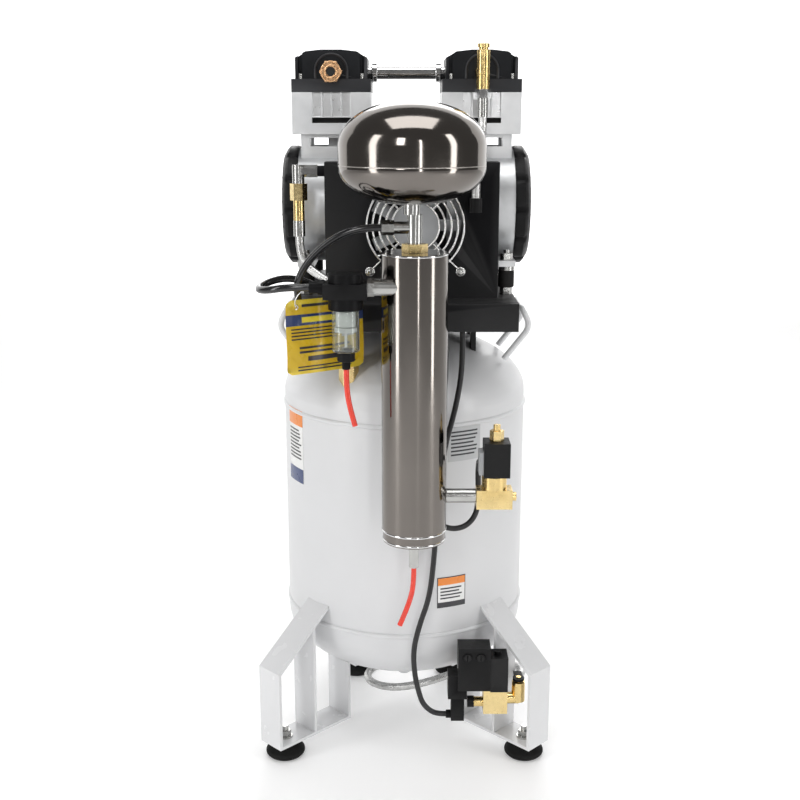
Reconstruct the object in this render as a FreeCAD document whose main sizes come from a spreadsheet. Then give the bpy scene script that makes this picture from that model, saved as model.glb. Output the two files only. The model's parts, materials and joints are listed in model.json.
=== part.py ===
import FreeCAD, Part
import math
import os
import re
import Sketcher

# Upright air compressor with a twin-head pump and a front-mounted air dryer.
# Frame: millimetres, +Z up, origin where the tank's axis meets the floor.
# +X is to the right and -Y is the side that carries the dryer.

V = FreeCAD.Vector
X, Y, Z = V(1, 0, 0), V(0, 1, 0), V(0, 0, 1)

SIZES = {
    # tank
    "tank_rad": 152, "tank_wall": 3, "tank_lift": 68, "head_rise": 76, "head_skirt": 17,
    "shell_len": 256, "bead_rad": 3,
    # legs and feet
    "strap_wide": 38, "strap_thick": 4, "foot_high": 19, "leg_out": 232, "leg_in": 116,
    "leg_bend": 120, "leg_weld": 184, "strut_at": 173, "foot_at": 209, "foot_rad": 24,
    "rear_foot_at": 101, "rear_leg_half": 20, "bolt_rad": 4, "bolt_gap": 0.4,
    # pump platform and its mounts
    "deck_gap": 22, "deck_high": 32, "deck_x": 129, "deck_y": 150, "deck_wall": 3,
    "mount_x": 118, "mount_y": 75, "mount_rad": 9.5, "nut_high": 9, "rubber_high": 20,
    "washer_high": 5, "lug_thick": 7, "lug_wide": 20,
    # pump
    "pump_x": 2, "bore_gap": 88, "shaft_rise": 66, "case_rad": 68, "case_wall": 6,
    "case_half": 40.5, "neck_rise": 85, "neck_half": 37, "block_half": 46.5, "block_high": 48,
    "bore_rad": 31.5, "flute_pitch": 11.4, "flange_high": 15, "cover_half": 42, "cover_high": 33,
    "cap_rad": 71, "cap_thick": 18.5, "cap_wall": 3, "shaft_rad": 8, "bearing_rad": 17,
    "throw": 8, "eccentric_rad": 17, "ring_rad": 33.5, "ring_wall": 5, "piston_high": 10,
    "motor_rad": 62, "motor_wall": 4, "rotor_rad": 34, "cross_rad": 7.8, "port_rad": 7.8,
    "run_gap": 0.05,
    # cooler box and fan
    "box_gap_left": 14, "box_gap_right": 2, "box_front": 103, "box_deep": 32, "box_high": 155,
    "box_wall": 2, "fan_x": 12, "fan_rise": 83, "fan_side": 120, "fan_deep": 25,
    "fan_open": 57, "blade_rad": 54, "hub_rad": 27, "wire_rad": 1.1, "screw_pitch": 105,
    # dryer, bulb and filter
    "dryer_x": 10, "dryer_gap": 27, "dryer_rad": 36, "dryer_foot": 308, "dryer_len": 322,
    "dryer_wall": 2, "bulb_x": 7, "bulb_rad": 77.5, "bulb_dome": 43, "bulb_side": 20,
    "bulb_foot": 680, "filter_x": -63, "filter_half": 23, "filter_foot": 573,
    "filter_high": 38, "filter_out": 23, "bowl_rad": 14.5, "bowl_high": 45,
    # valves
    "check_x": -66, "check_y": 112, "check_rad": 6.8,
    "purge_x": 99, "purge_z": 359, "coil_half": 14.5, "drain_y": 160, "drain_z": 82,
}

PLACES = {
    "low_bead": "tank_lift + head_rise + head_skirt",
    "high_bead": "low_bead + shell_len",
    "tank_top": "high_bead + head_skirt + head_rise",
    "deck_foot": "tank_top + deck_gap",
    "deck_top": "deck_foot + deck_high",
    "rubber_foot": "deck_top + nut_high",
    "rubber_top": "rubber_foot + rubber_high",
    "lug_foot": "rubber_top + washer_high",
    "shaft_z": "lug_foot + shaft_rise",
    "neck_top": "shaft_z + neck_rise",
    "block_top": "neck_top + block_high",
    "flange_top": "block_top + flange_high",
    "cover_top": "flange_top + cover_high",
    "port_z": "flange_top + 8",
    "fan_z": "deck_top + fan_rise",
    "box_back": "box_front - box_deep",
    "box_left": "pump_x - mount_x + lug_wide / 2 + box_gap_left",
    "box_right": "pump_x + mount_x - lug_wide / 2 - box_gap_right",
    "dryer_y": "tank_rad + dryer_gap + dryer_rad",
    "dryer_top": "dryer_foot + dryer_len",
    "filter_y": "dryer_y + filter_out",
    "filter_top": "filter_foot + filter_high",
    "filter_port": "filter_foot + filter_high / 2 + 4",
    "purge_y": "dryer_y - 12",
    "bulb_mid": "bulb_foot + bulb_dome",
    "left_bore": "pump_x - bore_gap",
    "right_bore": "pump_x + bore_gap",
}

doc = FreeCAD.newDocument("air_compressor")
sheet = doc.addObject("Spreadsheet::Sheet", "Sizes")
for row, (name, value) in enumerate(SIZES.items(), 1):
    sheet.set(f"A{row}", name)
    sheet.set(f"B{row}", str(value))
    sheet.setAlias(f"B{row}", name)
doc.recompute()


def ex(text):
    """A FreeCAD expression from plain words for sizes and places."""
    def owner(match):
        word = match.group(0)
        if word in SIZES:
            return "Sizes." + word
        return "Places." + word if word in PLACES else word
    return re.sub(r"[a-z_]+", owner, str(text))


places = doc.addObject("App::VarSet", "Places")
for name, rule in PLACES.items():
    places.addProperty("App::PropertyFloat", name)
    places.setExpression(name, ex(rule))
probe = doc.addObject("App::VarSet", "Probe")
probe.addProperty("App::PropertyFloat", "answer")
doc.recompute()


def num(text):
    """The value of a size, a place or a rule, in millimetres."""
    if not isinstance(text, str):
        return float(text)
    if text in SIZES:
        return float(sheet.get(text))
    if text in PLACES:
        return float(getattr(places, text))
    probe.setExpression("answer", ex(text))
    probe.recompute()
    return float(probe.answer)


parts = []


def bind(thing, **rules):
    """Tie properties to rules; at=(x, y, z) ties the base of the placement."""
    for axis, rule in zip("xyz", rules.pop("at", ())):
        thing.setExpression(f"Placement.Base.{axis}", ex(rule))
    for key, rule in rules.items():
        thing.setExpression(key, ex(rule))
    return thing


def turn(thing, axis, degrees):
    thing.Placement = FreeCAD.Placement(thing.Placement.Base, FreeCAD.Rotation(axis, degrees))
    return thing


def box(x, y, z):
    """A block between two rules on each axis."""
    made = doc.addObject("Part::Box", "Block")
    return bind(made, at=(x[0], y[0], z[0]), Length=f"({x[1]}) - ({x[0]})",
                Width=f"({y[1]}) - ({y[0]})", Height=f"({z[1]}) - ({z[0]})")


def rod(radius, at, length, axis=Z):
    """A round bar from a point, along +X, +Y or +Z."""
    made = doc.addObject("Part::Cylinder", "Rod")
    if axis is X:
        turn(made, Y, 90)
    if axis is Y:
        turn(made, X, -90)
    return bind(made, at=at, Radius=radius, Height=length)


def hexagon(radius, at, length, axis=Z):
    made = doc.addObject("Part::Prism", "Hexagon")
    if axis is X:
        turn(made, Y, 90)
    if axis is Y:
        turn(made, X, -90)
    return bind(made, at=at, Circumradius=radius, Height=length)


def half_ball(wide, tall, at, upper=True):
    """Half of a squashed ball, above or below its widest circle."""
    made = doc.addObject("Part::Ellipsoid", "HalfBall")
    made.Angle1, made.Angle2 = (0, 90) if upper else (-90, 0)
    return bind(made, at=at, Radius1=tall, Radius2=wide, Radius3=wide)


def ring(wide, thin, at, axis=Z):
    made = doc.addObject("Part::Torus", "Ring")
    if axis is Y:
        turn(made, X, -90)
    return bind(made, at=at, Radius1=wide, Radius2=thin)


def fuse(*things):
    made = doc.addObject("Part::MultiFuse", "Joined")
    made.Shapes = list(things)
    return made


def cut(base, *tools):
    made = doc.addObject("Part::Cut", "Trimmed")
    made.Base = base
    made.Tool = tools[0] if len(tools) == 1 else fuse(*tools)
    return made


def group(*things):
    made = doc.addObject("Part::Compound", "Set")
    made.Links = list(things)
    return made


def keep(name, thing):
    """Name a finished sub-part; its label names its file."""
    thing.Label = name
    parts.append(thing)
    return thing


def shape_only(shape):
    made = doc.addObject("Part::Feature", "Tube")
    made.Shape = shape
    made.Placement = FreeCAD.Placement()
    return made


# ---- PartDesign helpers ----

def new_body(name):
    made = doc.addObject("PartDesign::Body", name)
    return made


def new_sketch(body, role, lift=0):
    made = body.newObject("Sketcher::SketchObject", "Sketch")
    plane = next(f for f in body.Origin.OriginFeatures if f.Role == role)
    made.AttachmentSupport = [(plane, "")]
    made.MapMode = "FlatFace"
    made.setExpression("AttachmentOffset.Base.z", ex(lift))
    return made


def tie(drawn, kind, index, point, rule):
    number = drawn.addConstraint(
        Sketcher.Constraint(kind, -1, 1, index, point, num(rule)))
    drawn.setExpression(f"Constraints[{number}]", ex(rule))


def outline(drawn, corners):
    """A closed outline whose corners are tied to pairs of rules."""
    spots = [V(num(a), num(b), 0) for a, b in corners]
    count, first = len(spots), drawn.GeometryCount
    for i in range(count):
        drawn.addGeometry(Part.LineSegment(spots[i], spots[(i + 1) % count]))
    for i in range(count):
        after = first + (i + 1) % count
        drawn.addConstraint(Sketcher.Constraint("Coincident", first + i, 2, after, 1))
    for i, (a, b) in enumerate(corners):
        tie(drawn, "DistanceX", first + i, 1, a)
        tie(drawn, "DistanceY", first + i, 1, b)


def square(drawn, a, b):
    """A rectangle between two rules each way."""
    outline(drawn, [(a[0], b[0]), (a[1], b[0]), (a[1], b[1]), (a[0], b[1])])


def circle(drawn, a, b, radius):
    index = drawn.GeometryCount
    drawn.addGeometry(Part.Circle(V(num(a), num(b), 0), Z, num(radius)))
    tie(drawn, "DistanceX", index, 3, a)
    tie(drawn, "DistanceY", index, 3, b)
    number = drawn.addConstraint(Sketcher.Constraint("Radius", index, num(radius)))
    drawn.setExpression(f"Constraints[{number}]", ex(radius))


def pad(body, drawn, length):
    made = body.newObject("PartDesign::Pad", "Pad")
    made.Profile = drawn
    return bind(made, Length=length)


def pocket(body, drawn, depth, flip=False):
    """A pocket that must take material away."""
    doc.recompute()
    before = body.Shape.Volume
    made = body.newObject("PartDesign::Pocket", "Pocket")
    made.Profile = drawn
    made.Reversed = flip
    bind(made, Length=depth)
    doc.recompute()
    if body.Shape.Volume >= before:
        raise ValueError(f"a pocket in {body.Label} cuts nothing")
    return made


def spun(name, corners, at):
    """A body turned about a vertical axis from its half outline."""
    body = new_body(name)
    drawn = new_sketch(body, "XZ_Plane")
    outline(drawn, corners)
    made = body.newObject("PartDesign::Revolution", "Revolution")
    made.Profile = drawn
    made.ReferenceAxis = (drawn, ["V_Axis"])
    made.Angle = 360
    return bind(body, at=at)


# ---- round bars and hoses ----

def bar_shape(route, radius, label=None):
    """Straight runs joined by tangent arcs, as a solid round bar."""
    spots = [V(*spot) for spot in route]
    edges, start, bends = [], spots[0], []
    for before, here, after in zip(spots, spots[1:], spots[2:]):
        into, out = (here - before), (after - here)
        half = into.getAngle(out) / 2
        reach = 0.45 * min(into.Length, out.Length)
        bends.append(reach / math.tan(half))
        first = here - into.normalize() * reach
        last = here + out.normalize() * reach
        middle = here + (out - into).normalize() * bends[-1] * (1 / math.cos(half) - 1)
        edges += [Part.LineSegment(start, first).toShape(),
                  Part.Arc(first, middle, last).toShape()]
        start = last
    edges.append(Part.LineSegment(start, spots[-1]).toShape())
    path = Part.Wire(edges)
    ends = Part.Wire(Part.makeCircle(radius, spots[0], spots[1] - spots[0]))
    tube = Part.Solid(path.makePipeShell([ends], True, False).Shells[0])
    if tube.Volume < 0:
        tube.reverse()
    if abs(tube.Volume / (math.pi * radius ** 2 * path.Length) - 1) > 0.01:
        raise ValueError(f"{label} has the wrong volume")
    if label:
        print(f"{label}: length {path.Length:.0f}, bends "
              + ", ".join(f"{bend:.0f}" for bend in bends))
    return tube


# ---- tank ----

def tank_envelope():
    """The tank's outer surface as one solid, for trimming what is welded to it."""
    low = half_ball("tank_rad", "head_rise", (0, 0, "tank_lift + head_rise"), upper=False)
    high = half_ball("tank_rad", "head_rise", (0, 0, "high_bead + head_skirt"))
    middle = rod("tank_rad", (0, 0, "tank_lift + head_rise"), "shell_len + 2 * head_skirt")
    return fuse(low, middle, high)


def tank_head(upper):
    edge = "high_bead" if upper else "low_bead"
    skirt = edge if upper else "low_bead - head_skirt"
    dome = "high_bead + head_skirt" if upper else "low_bead - head_skirt"
    bead = f"{edge} + bead_rad" if upper else f"{edge} - bead_rad"
    outside = fuse(half_ball("tank_rad", "head_rise", (0, 0, dome), upper),
                   rod("tank_rad", (0, 0, skirt), "head_skirt"),
                   ring("tank_rad - 1", "bead_rad", (0, 0, bead)))
    inside = fuse(half_ball("tank_rad - tank_wall", "head_rise - tank_wall", (0, 0, dome), upper),
                  rod("tank_rad - tank_wall", (0, 0, skirt), "head_skirt"))
    return cut(outside, inside)


def tank():
    shell = new_body("tank_shell")
    drawn = new_sketch(shell, "XY_Plane", "low_bead")
    circle(drawn, 0, 0, "tank_rad")
    circle(drawn, 0, 0, "tank_rad - tank_wall")
    pad(shell, drawn, "shell_len")
    keep("tank_shell", shell)
    drain_boss = cut(rod(13, (0, 4, "tank_lift - 12"), 14),
                     half_ball("tank_rad", "head_rise", (0, 0, "tank_lift + head_rise"), False))
    elbow = fuse(rod(8, (0, 4, "tank_lift - 33"), 21), rod(7, (-12, 4, "tank_lift - 24"), 12, X))
    keep("tank_heads", group(tank_head(True), fuse(tank_head(False), drain_boss, elbow)))


# ---- legs and feet ----

def front_leg(side):
    """One bent strap frame with a strut, drawn along +X and turned into place."""
    body = new_body("LegStrap")
    drawn = new_sketch(body, "XZ_Plane", "-strap_wide / 2")
    rise = "(leg_weld - leg_bend) / (leg_out - tank_rad)"
    inner_bend = "leg_bend - strap_thick * 0.5"
    outline(drawn, [
        ("leg_in", "foot_high"), ("leg_out", "foot_high"), ("leg_out", "leg_bend"),
        ("tank_rad - 12", f"leg_weld + 12 * {rise}"),
        ("tank_rad - 12", f"leg_weld + 12 * {rise} - strap_thick * 1.26"),
        ("leg_out - strap_thick", inner_bend),
        ("leg_out - strap_thick", "foot_high + strap_thick"),
        ("leg_in + strap_thick", "foot_high + strap_thick"),
        ("leg_in + strap_thick", "tank_lift + head_rise"), ("leg_in", "tank_lift + head_rise")])
    pad(body, drawn, "strap_wide")
    strut = new_sketch(body, "XZ_Plane", "-strap_wide / 2")
    top = f"leg_bend + (leg_out - strut_at) * {rise} - strap_thick * 0.7"
    outline(strut, [
        ("strut_at", "foot_high + strap_thick"),
        ("strut_at + strap_thick", "foot_high + strap_thick"),
        ("strut_at + strap_thick", f"{top} - strap_thick * {rise}"), ("strut_at", top)])
    pad(body, strut, "strap_wide")
    hole = new_sketch(body, "XY_Plane", "foot_high")
    circle(hole, "foot_at", 0, "bolt_rad + bolt_gap")
    pocket(body, hole, "strap_thick", flip=True)
    turn(body, Z, -90 + 45 * side)
    return cut(body, tank_envelope())


def rear_leg():
    """A short U-shaped strap under the tank, drawn along +X."""
    body = new_body("RearStrap")
    drawn = new_sketch(body, "XZ_Plane", "-strap_wide / 2")
    outer, inner = "rear_foot_at + rear_leg_half", "rear_foot_at - rear_leg_half"
    top = "tank_lift + head_rise"
    outline(drawn, [
        (inner, "foot_high"), (outer, "foot_high"), (outer, top),
        (f"{outer} - strap_thick", top), (f"{outer} - strap_thick", "foot_high + strap_thick"),
        (f"{inner} + strap_thick", "foot_high + strap_thick"), (f"{inner} + strap_thick", top),
        (inner, top)])
    pad(body, drawn, "strap_wide")
    hole = new_sketch(body, "XY_Plane", "foot_high")
    circle(hole, "rear_foot_at", 0, "bolt_rad + bolt_gap")
    pocket(body, hole, "strap_thick", flip=True)
    return body


REAR_ANGLE = 48
FEET = [("foot_at", -45), ("foot_at", -135), ("rear_foot_at", REAR_ANGLE),
        ("rear_foot_at", 180 - REAR_ANGLE)]


def foot_spot(reach, angle):
    return (f"{reach} * {math.cos(math.radians(angle))}",
            f"{reach} * {math.sin(math.radians(angle))}")


def legs():
    keep("front_legs", group(front_leg(-1), front_leg(1)))
    rear = []
    for reach, angle in FEET[2:]:
        rear.append(cut(turn(rear_leg(), Z, angle), tank_envelope()))
    keep("rear_legs", group(*rear))
    pads, bolts = [], []
    for reach, angle in FEET:
        east, north = foot_spot(reach, angle)
        pads.append(spun("Foot", [
            ("bolt_rad + bolt_gap", 0), ("foot_rad - 4", 0), ("foot_rad", 4), ("foot_rad", 8),
            ("foot_rad - 9", "foot_high - 3"), ("foot_rad - 9", "foot_high"),
            ("bolt_rad + bolt_gap", "foot_high")], (east, north, 0)))
        seat = "foot_high + strap_thick"
        bolts.append(fuse(rod("bolt_rad", (east, north, 3), f"{seat} + 12"),
                          rod("bolt_rad * 2.3", (east, north, seat), 2),
                          hexagon("bolt_rad * 1.8", (east, north, f"{seat} + 2"), 7)))
    keep("foot_pads", group(*pads))
    keep("foot_bolts", group(*bolts))


def handles():
    """A bent-rod lifting handle on each shoulder of the tank."""
    high = num("high_bead") + num("head_skirt")
    half, radius = 45, 3.5
    made = []
    for side in (-1, 1):
        route = [(side * 122, -half, high + 45), (side * 154, -half, high + 86),
                 (side * 144, -half + 3, high + 107), (side * 144, half - 3, high + 107),
                 (side * 154, half, high + 86), (side * 122, half, high + 45)]
        made.append(cut(shape_only(bar_shape(route, radius)), tank_envelope()))
    keep("lifting_handles", group(*made))


# ---- platform and rubber mounts ----

MOUNTS = [(side, front) for side in (-1, 1) for front in (-1, 1)]


def mount_spot(side, front):
    return f"pump_x + {side} * mount_x", f"{front} * mount_y"


def platform():
    body = new_body("Deck")
    drawn = new_sketch(body, "XY_Plane", "deck_foot")
    square(drawn, ("-deck_x", "deck_x"), ("-deck_y", "deck_y"))
    pad(body, drawn, "deck_high")
    doc.recompute()
    hollow = new_sketch(body, "XY_Plane", "deck_foot")
    square(hollow, ("-deck_x + deck_wall", "deck_x - deck_wall"),
           ("-deck_y + deck_wall", "deck_y - deck_wall"))
    pocket(body, hollow, "deck_high - deck_wall", flip=True)
    hole = new_sketch(body, "XY_Plane", "deck_top")
    circle(hole, "check_x", "-check_y", "check_rad + 2.2")
    pocket(body, hole, "deck_wall")
    braces = [cut(box((f"{a} - 3", f"{a} + 3"), (f"{b} - 14", f"{b} + 14"),
                      ("high_bead + 2 * bead_rad + 1", "deck_top - deck_wall")), tank_envelope())
              for a in (-84, 84) for b in (-40, 40)]
    glands = [rod(6, (a, -134, "deck_top - deck_wall - 9"), 9) for a in (66, 46)]
    union = rod(6.5, (-102, "-deck_y - 6", "deck_top - 14"), 8, Y)
    keep("pump_platform", fuse(body, *braces, *glands, union))


def mounts():
    rubbers, studs = [], []
    for side, front in MOUNTS:
        east, north = mount_spot(side, front)
        rubbers.append(rod("mount_rad", (east, north, "rubber_foot"), "rubber_high"))
        studs.append(hexagon(7.5, (east, north, "deck_top"), "nut_high"))
        studs.append(fuse(
            rod("mount_rad", (east, north, "rubber_top"), "washer_high"),
            rod("bolt_rad", (east, north, "rubber_top"), "washer_high + lug_thick + 12"),
            hexagon(7.5, (east, north, "lug_foot + lug_thick"), "nut_high - 1")))
    keep("rubber_mounts", group(*rubbers))
    keep("mount_bolts", group(*studs))


# ---- pump ----

def crankcase(side):
    """Cast case with a neck for the cylinder and two mounting lugs."""
    axis = f"pump_x + {side} * bore_gap"
    end = f"{axis} - case_half"
    wide = "2 * case_half"
    drum = rod("case_rad", (end, 0, "shaft_z"), wide, X)
    neck = box((f"{axis} - neck_half", f"{axis} + neck_half"), ("-neck_half", "neck_half"),
               ("shaft_z", "neck_top"))
    lugs = [box((f"pump_x + {side} * mount_x - lug_wide / 2", f"pump_x + {side} * mount_x + lug_wide / 2"),
                span, ("lug_foot", "lug_foot + lug_thick"))
            for span in (("-mount_y - 11", "-30"), ("30", "mount_y + 11"))]
    wall_at = f"{end} + case_wall" if side > 0 else end
    hollow = rod("case_rad - case_wall", (wall_at, 0, "shaft_z"), f"{wide} - case_wall", X)
    well = rod("bore_rad + 3", (axis, 0, "shaft_z"), "neck_rise")
    seat = rod("bearing_rad", (end, 0, "shaft_z"), wide, X)
    window = box((f"{axis} - 26", f"{axis} + 26"), ("-neck_half", "neck_half"),
                 ("neck_top - 14", "neck_top - 4"))
    holes = [rod("bolt_rad + bolt_gap", (*mount_spot(side, front), "lug_foot"), "lug_thick")
             for front in (-1, 1)]
    solid = cut(fuse(drum, neck, *lugs), hollow, well, seat, window, *holes)
    return solid


def cylinder_block(side):
    """Square finned block with the cylinder bore."""
    axis = f"pump_x + {side} * bore_gap"
    body = new_body("Block")
    drawn = new_sketch(body, "XY_Plane", "neck_top")
    square(drawn, (f"{axis} - block_half", f"{axis} + block_half"), ("-block_half", "block_half"))
    pad(body, drawn, "block_high")
    doc.recompute()
    bore = new_sketch(body, "XY_Plane", "neck_top")
    circle(bore, axis, 0, "bore_rad")
    pocket(body, bore, "block_high", flip=True)
    for face in (-1, 1):
        flutes = new_sketch(body, "XZ_Plane", f"{-face} * block_half")
        for step in range(4):
            left = f"{axis} - 2 * flute_pitch + {step} * flute_pitch + 0.8"
            square(flutes, (left, f"{left} + flute_pitch - 1.6"),
                   ("neck_top + 20.5", "block_top"))
        pocket(body, flutes, 4, flip=face > 0)
    slot = [box((f"{axis} - 2 * flute_pitch", f"{axis} + 2 * flute_pitch"), span,
                ("neck_top + 13", "neck_top + 19"))
            for span in (("-block_half", "-block_half + 9"), ("block_half - 9", "block_half"))]
    screws = [rod(3.3, (f"{axis} + {a} * (cover_half - 6)", f"{b} * (cover_half - 6)",
                        "block_top - 18"), 18) for a in (-1, 1) for b in (-1, 1)]
    return cut(body, *slot, *screws)


def head_cover(side):
    """Flanged cover with a domed top, a front port and four screw wells."""
    axis = f"pump_x + {side} * bore_gap"
    body = new_body("Cover")
    base = new_sketch(body, "XY_Plane", "block_top")
    square(base, (f"{axis} - block_half", f"{axis} + block_half"), ("-block_half", "block_half"))
    pad(body, base, "flange_high")
    dome = new_sketch(body, "XZ_Plane", "-cover_half")
    outline(dome, [
        (f"{axis} - cover_half", "flange_top"), (f"{axis} + cover_half", "flange_top"),
        (f"{axis} + cover_half", "cover_top - 9"), (f"{axis} + cover_half - 12", "cover_top - 2"),
        (f"{axis} + 12", "cover_top"), (f"{axis} - 12", "cover_top"),
        (f"{axis} - cover_half + 12", "cover_top - 2"), (f"{axis} - cover_half", "cover_top - 9")])
    pad(body, dome, "2 * cover_half")
    doc.recompute()
    port = new_sketch(body, "XZ_Plane", "cover_half")
    circle(port, axis, "port_z", "port_rad + 0.4")
    pocket(body, port, 16)
    wells = []
    for a in (-1, 1):
        for b in (-1, 1):
            spot = (f"{axis} + {a} * (cover_half - 6)", f"{b} * (cover_half - 6)")
            wells += [rod(3.3, (*spot, "block_top"), "flange_high"),
                      rod(6.5, (*spot, "flange_top"), "cover_high")]
    sockets = rod("cross_rad + 0.3", (f"{axis} - {side} * cover_half - 6", 0, "port_z"), 12, X)
    return cut(body, sockets, *wells)


def end_cover(side):
    """Ribbed round shroud over the cooling fan at one end of the pump."""
    body = new_body("EndCover")
    start = f"pump_x + {side} * (bore_gap + case_half)"
    face = start if side > 0 else f"{start} - cap_thick"
    drawn = new_sketch(body, "YZ_Plane", face)
    circle(drawn, 0, "shaft_z", "cap_rad")
    pad(body, drawn, "cap_thick")
    doc.recompute()
    hollow = new_sketch(body, "YZ_Plane", start)
    circle(hollow, 0, "shaft_z", "cap_rad - cap_wall")
    pocket(body, hollow, "cap_thick - cap_wall", flip=side > 0)
    vents = []
    outer = f"{start} + cap_thick - cap_wall" if side > 0 else face
    for step in range(12):
        vent = box((0, "cap_rad * 0.5"), (-4, 4), (0, "cap_wall"))
        turned = FreeCAD.Rotation(X, 30 * step).multiply(FreeCAD.Rotation(Y, -90))
        vent.Placement = FreeCAD.Placement(V(0, 0, 0), turned)
        angle = math.radians(30 * step)
        reach = "cap_rad * 0.38"
        bind(vent, at=(f"{outer} + cap_wall", f"{reach} * {-math.sin(angle)}",
                       f"shaft_z + {reach} * {math.cos(angle)}"))
        vents.append(vent)
    return cut(body, *vents)


def cooling_fan(side):
    """Six-blade fan that turns with the shaft inside an end cover."""
    start = f"pump_x + {side} * (bore_gap + case_half + 3) - {0 if side > 0 else 10}"
    hub = rod(18, (start, 0, "shaft_z"), 10, X)
    blades = []
    for step in range(6):
        angle = math.radians(60 * step)
        blade = doc.addObject("Part::Box", "Blade")
        blade.Placement = FreeCAD.Placement(V(0, 0, 0), FreeCAD.Rotation(X, 60 * step))
        bind(blade, at=(f"{start} + 1", -1.5 * math.cos(angle),
                        f"shaft_z - {1.5 * math.sin(angle)}"),
             Length=8, Width=3, Height="cap_rad - 13")
        blades.append(blade)
    bore = rod("shaft_rad", (start, 0, "shaft_z"), 10, X)
    return cut(fuse(hub, *blades), bore)


def crankshaft():
    left = f"pump_x - bore_gap - case_half - cap_thick + cap_wall + 2"
    right = f"pump_x + bore_gap + case_half + cap_thick - cap_wall - 2"
    shaft = rod("shaft_rad", (left, 0, "shaft_z"), f"({right}) - ({left})", X)
    lobes = [rod("eccentric_rad", ("left_bore - 7", 0, "shaft_z + throw"), 14, X),
             rod("eccentric_rad", ("right_bore - 7", 0, "shaft_z - throw"), 14, X)]
    return fuse(shaft, *lobes)


def piston(side, lift):
    """Piston and rod in one piece; its ring runs round the eccentric."""
    axis = f"pump_x + {side} * bore_gap"
    centre = f"shaft_z + {lift} * throw"
    crown = f"block_top - 2 - throw + {lift} * throw"
    outer = rod("ring_rad + ring_wall", (f"{axis} - 6", 0, centre), 12, X)
    inner = rod("ring_rad", (f"{axis} - 6", 0, centre), 12, X)
    stem = box((f"{axis} - 6", f"{axis} + 6"), (-9, 9),
               (f"{centre} + ring_rad + 2", f"{crown} - piston_high"))
    disc = rod("bore_rad - run_gap", (axis, 0, f"{crown} - piston_high"), "piston_high")
    return fuse(cut(outer, inner), stem, disc)


def pump():
    keep("crankcases", group(crankcase(-1), crankcase(1)))
    keep("cylinder_blocks", group(cylinder_block(-1), cylinder_block(1)))
    keep("head_covers", group(head_cover(-1), head_cover(1)))
    screws = []
    for side in (-1, 1):
        for a in (-1, 1):
            for b in (-1, 1):
                east = f"pump_x + {side} * bore_gap + {a} * (cover_half - 6)"
                north = f"{b} * (cover_half - 6)"
                head = cut(rod(5.5, (east, north, "flange_top"), 6),
                           hexagon(3, (east, north, "flange_top + 2.5"), 3.5))
                screws.append(fuse(head, rod(3, (east, north, "block_top - 16"), "flange_high + 16")))
    keep("head_screws", group(*screws))
    keep("end_covers", group(end_cover(-1), end_cover(1)))
    keep("cooling_fans", group(cooling_fan(-1), cooling_fan(1)))
    keep("crankshaft", crankshaft())
    keep("left_piston", piston(-1, 1))
    keep("right_piston", piston(1, -1))
    bearings = []
    for side in (-1, 1):
        start = f"pump_x + {side} * (bore_gap - case_half + 6) - 6"
        bearings.append(cut(rod("bearing_rad", (start, 0, "shaft_z"), 12, X),
                            rod("shaft_rad + run_gap", (start, 0, "shaft_z"), 12, X)))
    keep("shaft_bearings", group(*bearings))
    length = "2 * (bore_gap - case_half)"
    start = ("pump_x - bore_gap + case_half", 0, "shaft_z")
    keep("motor_housing", cut(rod("motor_rad", start, length, X),
                              rod("motor_rad - motor_wall", start, length, X)))
    inset = ("pump_x - bore_gap + case_half + 14", 0, "shaft_z")
    core = "2 * (bore_gap - case_half - 14)"
    keep("motor_stator", cut(rod("motor_rad - motor_wall", inset, core, X),
                             rod("rotor_rad + 0.6", inset, core, X)))
    keep("motor_rotor", cut(rod("rotor_rad", inset, core, X), rod("shaft_rad", inset, core, X)))
    reach = "cover_half - 5.5"
    tube_from = (f"left_bore + {reach}", 0, "port_z")
    tube_long = f"2 * (bore_gap - ({reach}))"
    collar = "block_half + 0.3"
    tube = cut(fuse(rod("cross_rad", tube_from, tube_long, X),
                    rod("cross_rad + 3.5", (f"left_bore + {collar}", 0, "port_z"), 6, X),
                    rod("cross_rad + 3.5", (f"right_bore - ({collar}) - 6", 0, "port_z"), 6, X)),
               rod("cross_rad - 1.5", tube_from, tube_long, X))
    keep("crossover_tube", tube)


def line_fittings():
    """Plug on the left head, tee and relief seat on the right, check valve on the tank."""
    front = "-block_half - 0.2"
    plug = fuse(hexagon(13.5, ("left_bore", f"{front} - 7", "port_z"), 7, Y),
                rod("port_rad", ("left_bore", front, "port_z"), 16, Y))
    eye = cut(plug, rod(5, ("left_bore", f"{front} - 7", "port_z"), 9, Y))
    mid = "cover_half + 20"
    stub = rod("port_rad", ("right_bore", f"-({mid})", "port_z"), 32, Y)
    stem = rod(7.7, ("right_bore", f"-({mid})", "port_z - 20"), 43)
    nut = hexagon(9.5, ("right_bore", f"-({mid})", "port_z - 30"), 10)
    ferrule = rod(6.5, ("right_bore", f"-({mid})", "port_z - 51"), 21)
    valve_at = ("check_x", "-check_y", "high_bead + 40")
    check_valve = cut(fuse(rod("check_rad", valve_at, "deck_foot - high_bead - 32"),
                           hexagon(12, valve_at, 50)), tank_envelope())
    keep("line_fittings", group(eye, fuse(stub, stem, nut, ferrule), check_valve))
    post = ("right_bore", f"-({mid})", "port_z + 23.5")
    knob = cut(fuse(rod(5.5, post, 4), rod(7, ("right_bore", f"-({mid})", "port_z + 26.5"), 4)),
               box(("right_bore - 8", "right_bore + 8"), (f"-({mid}) - 1.5", f"-({mid}) + 1.5"),
                   ("port_z + 28.5", "port_z + 31")))
    keep("relief_pull", knob)


# ---- cooler box and fan ----

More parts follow.
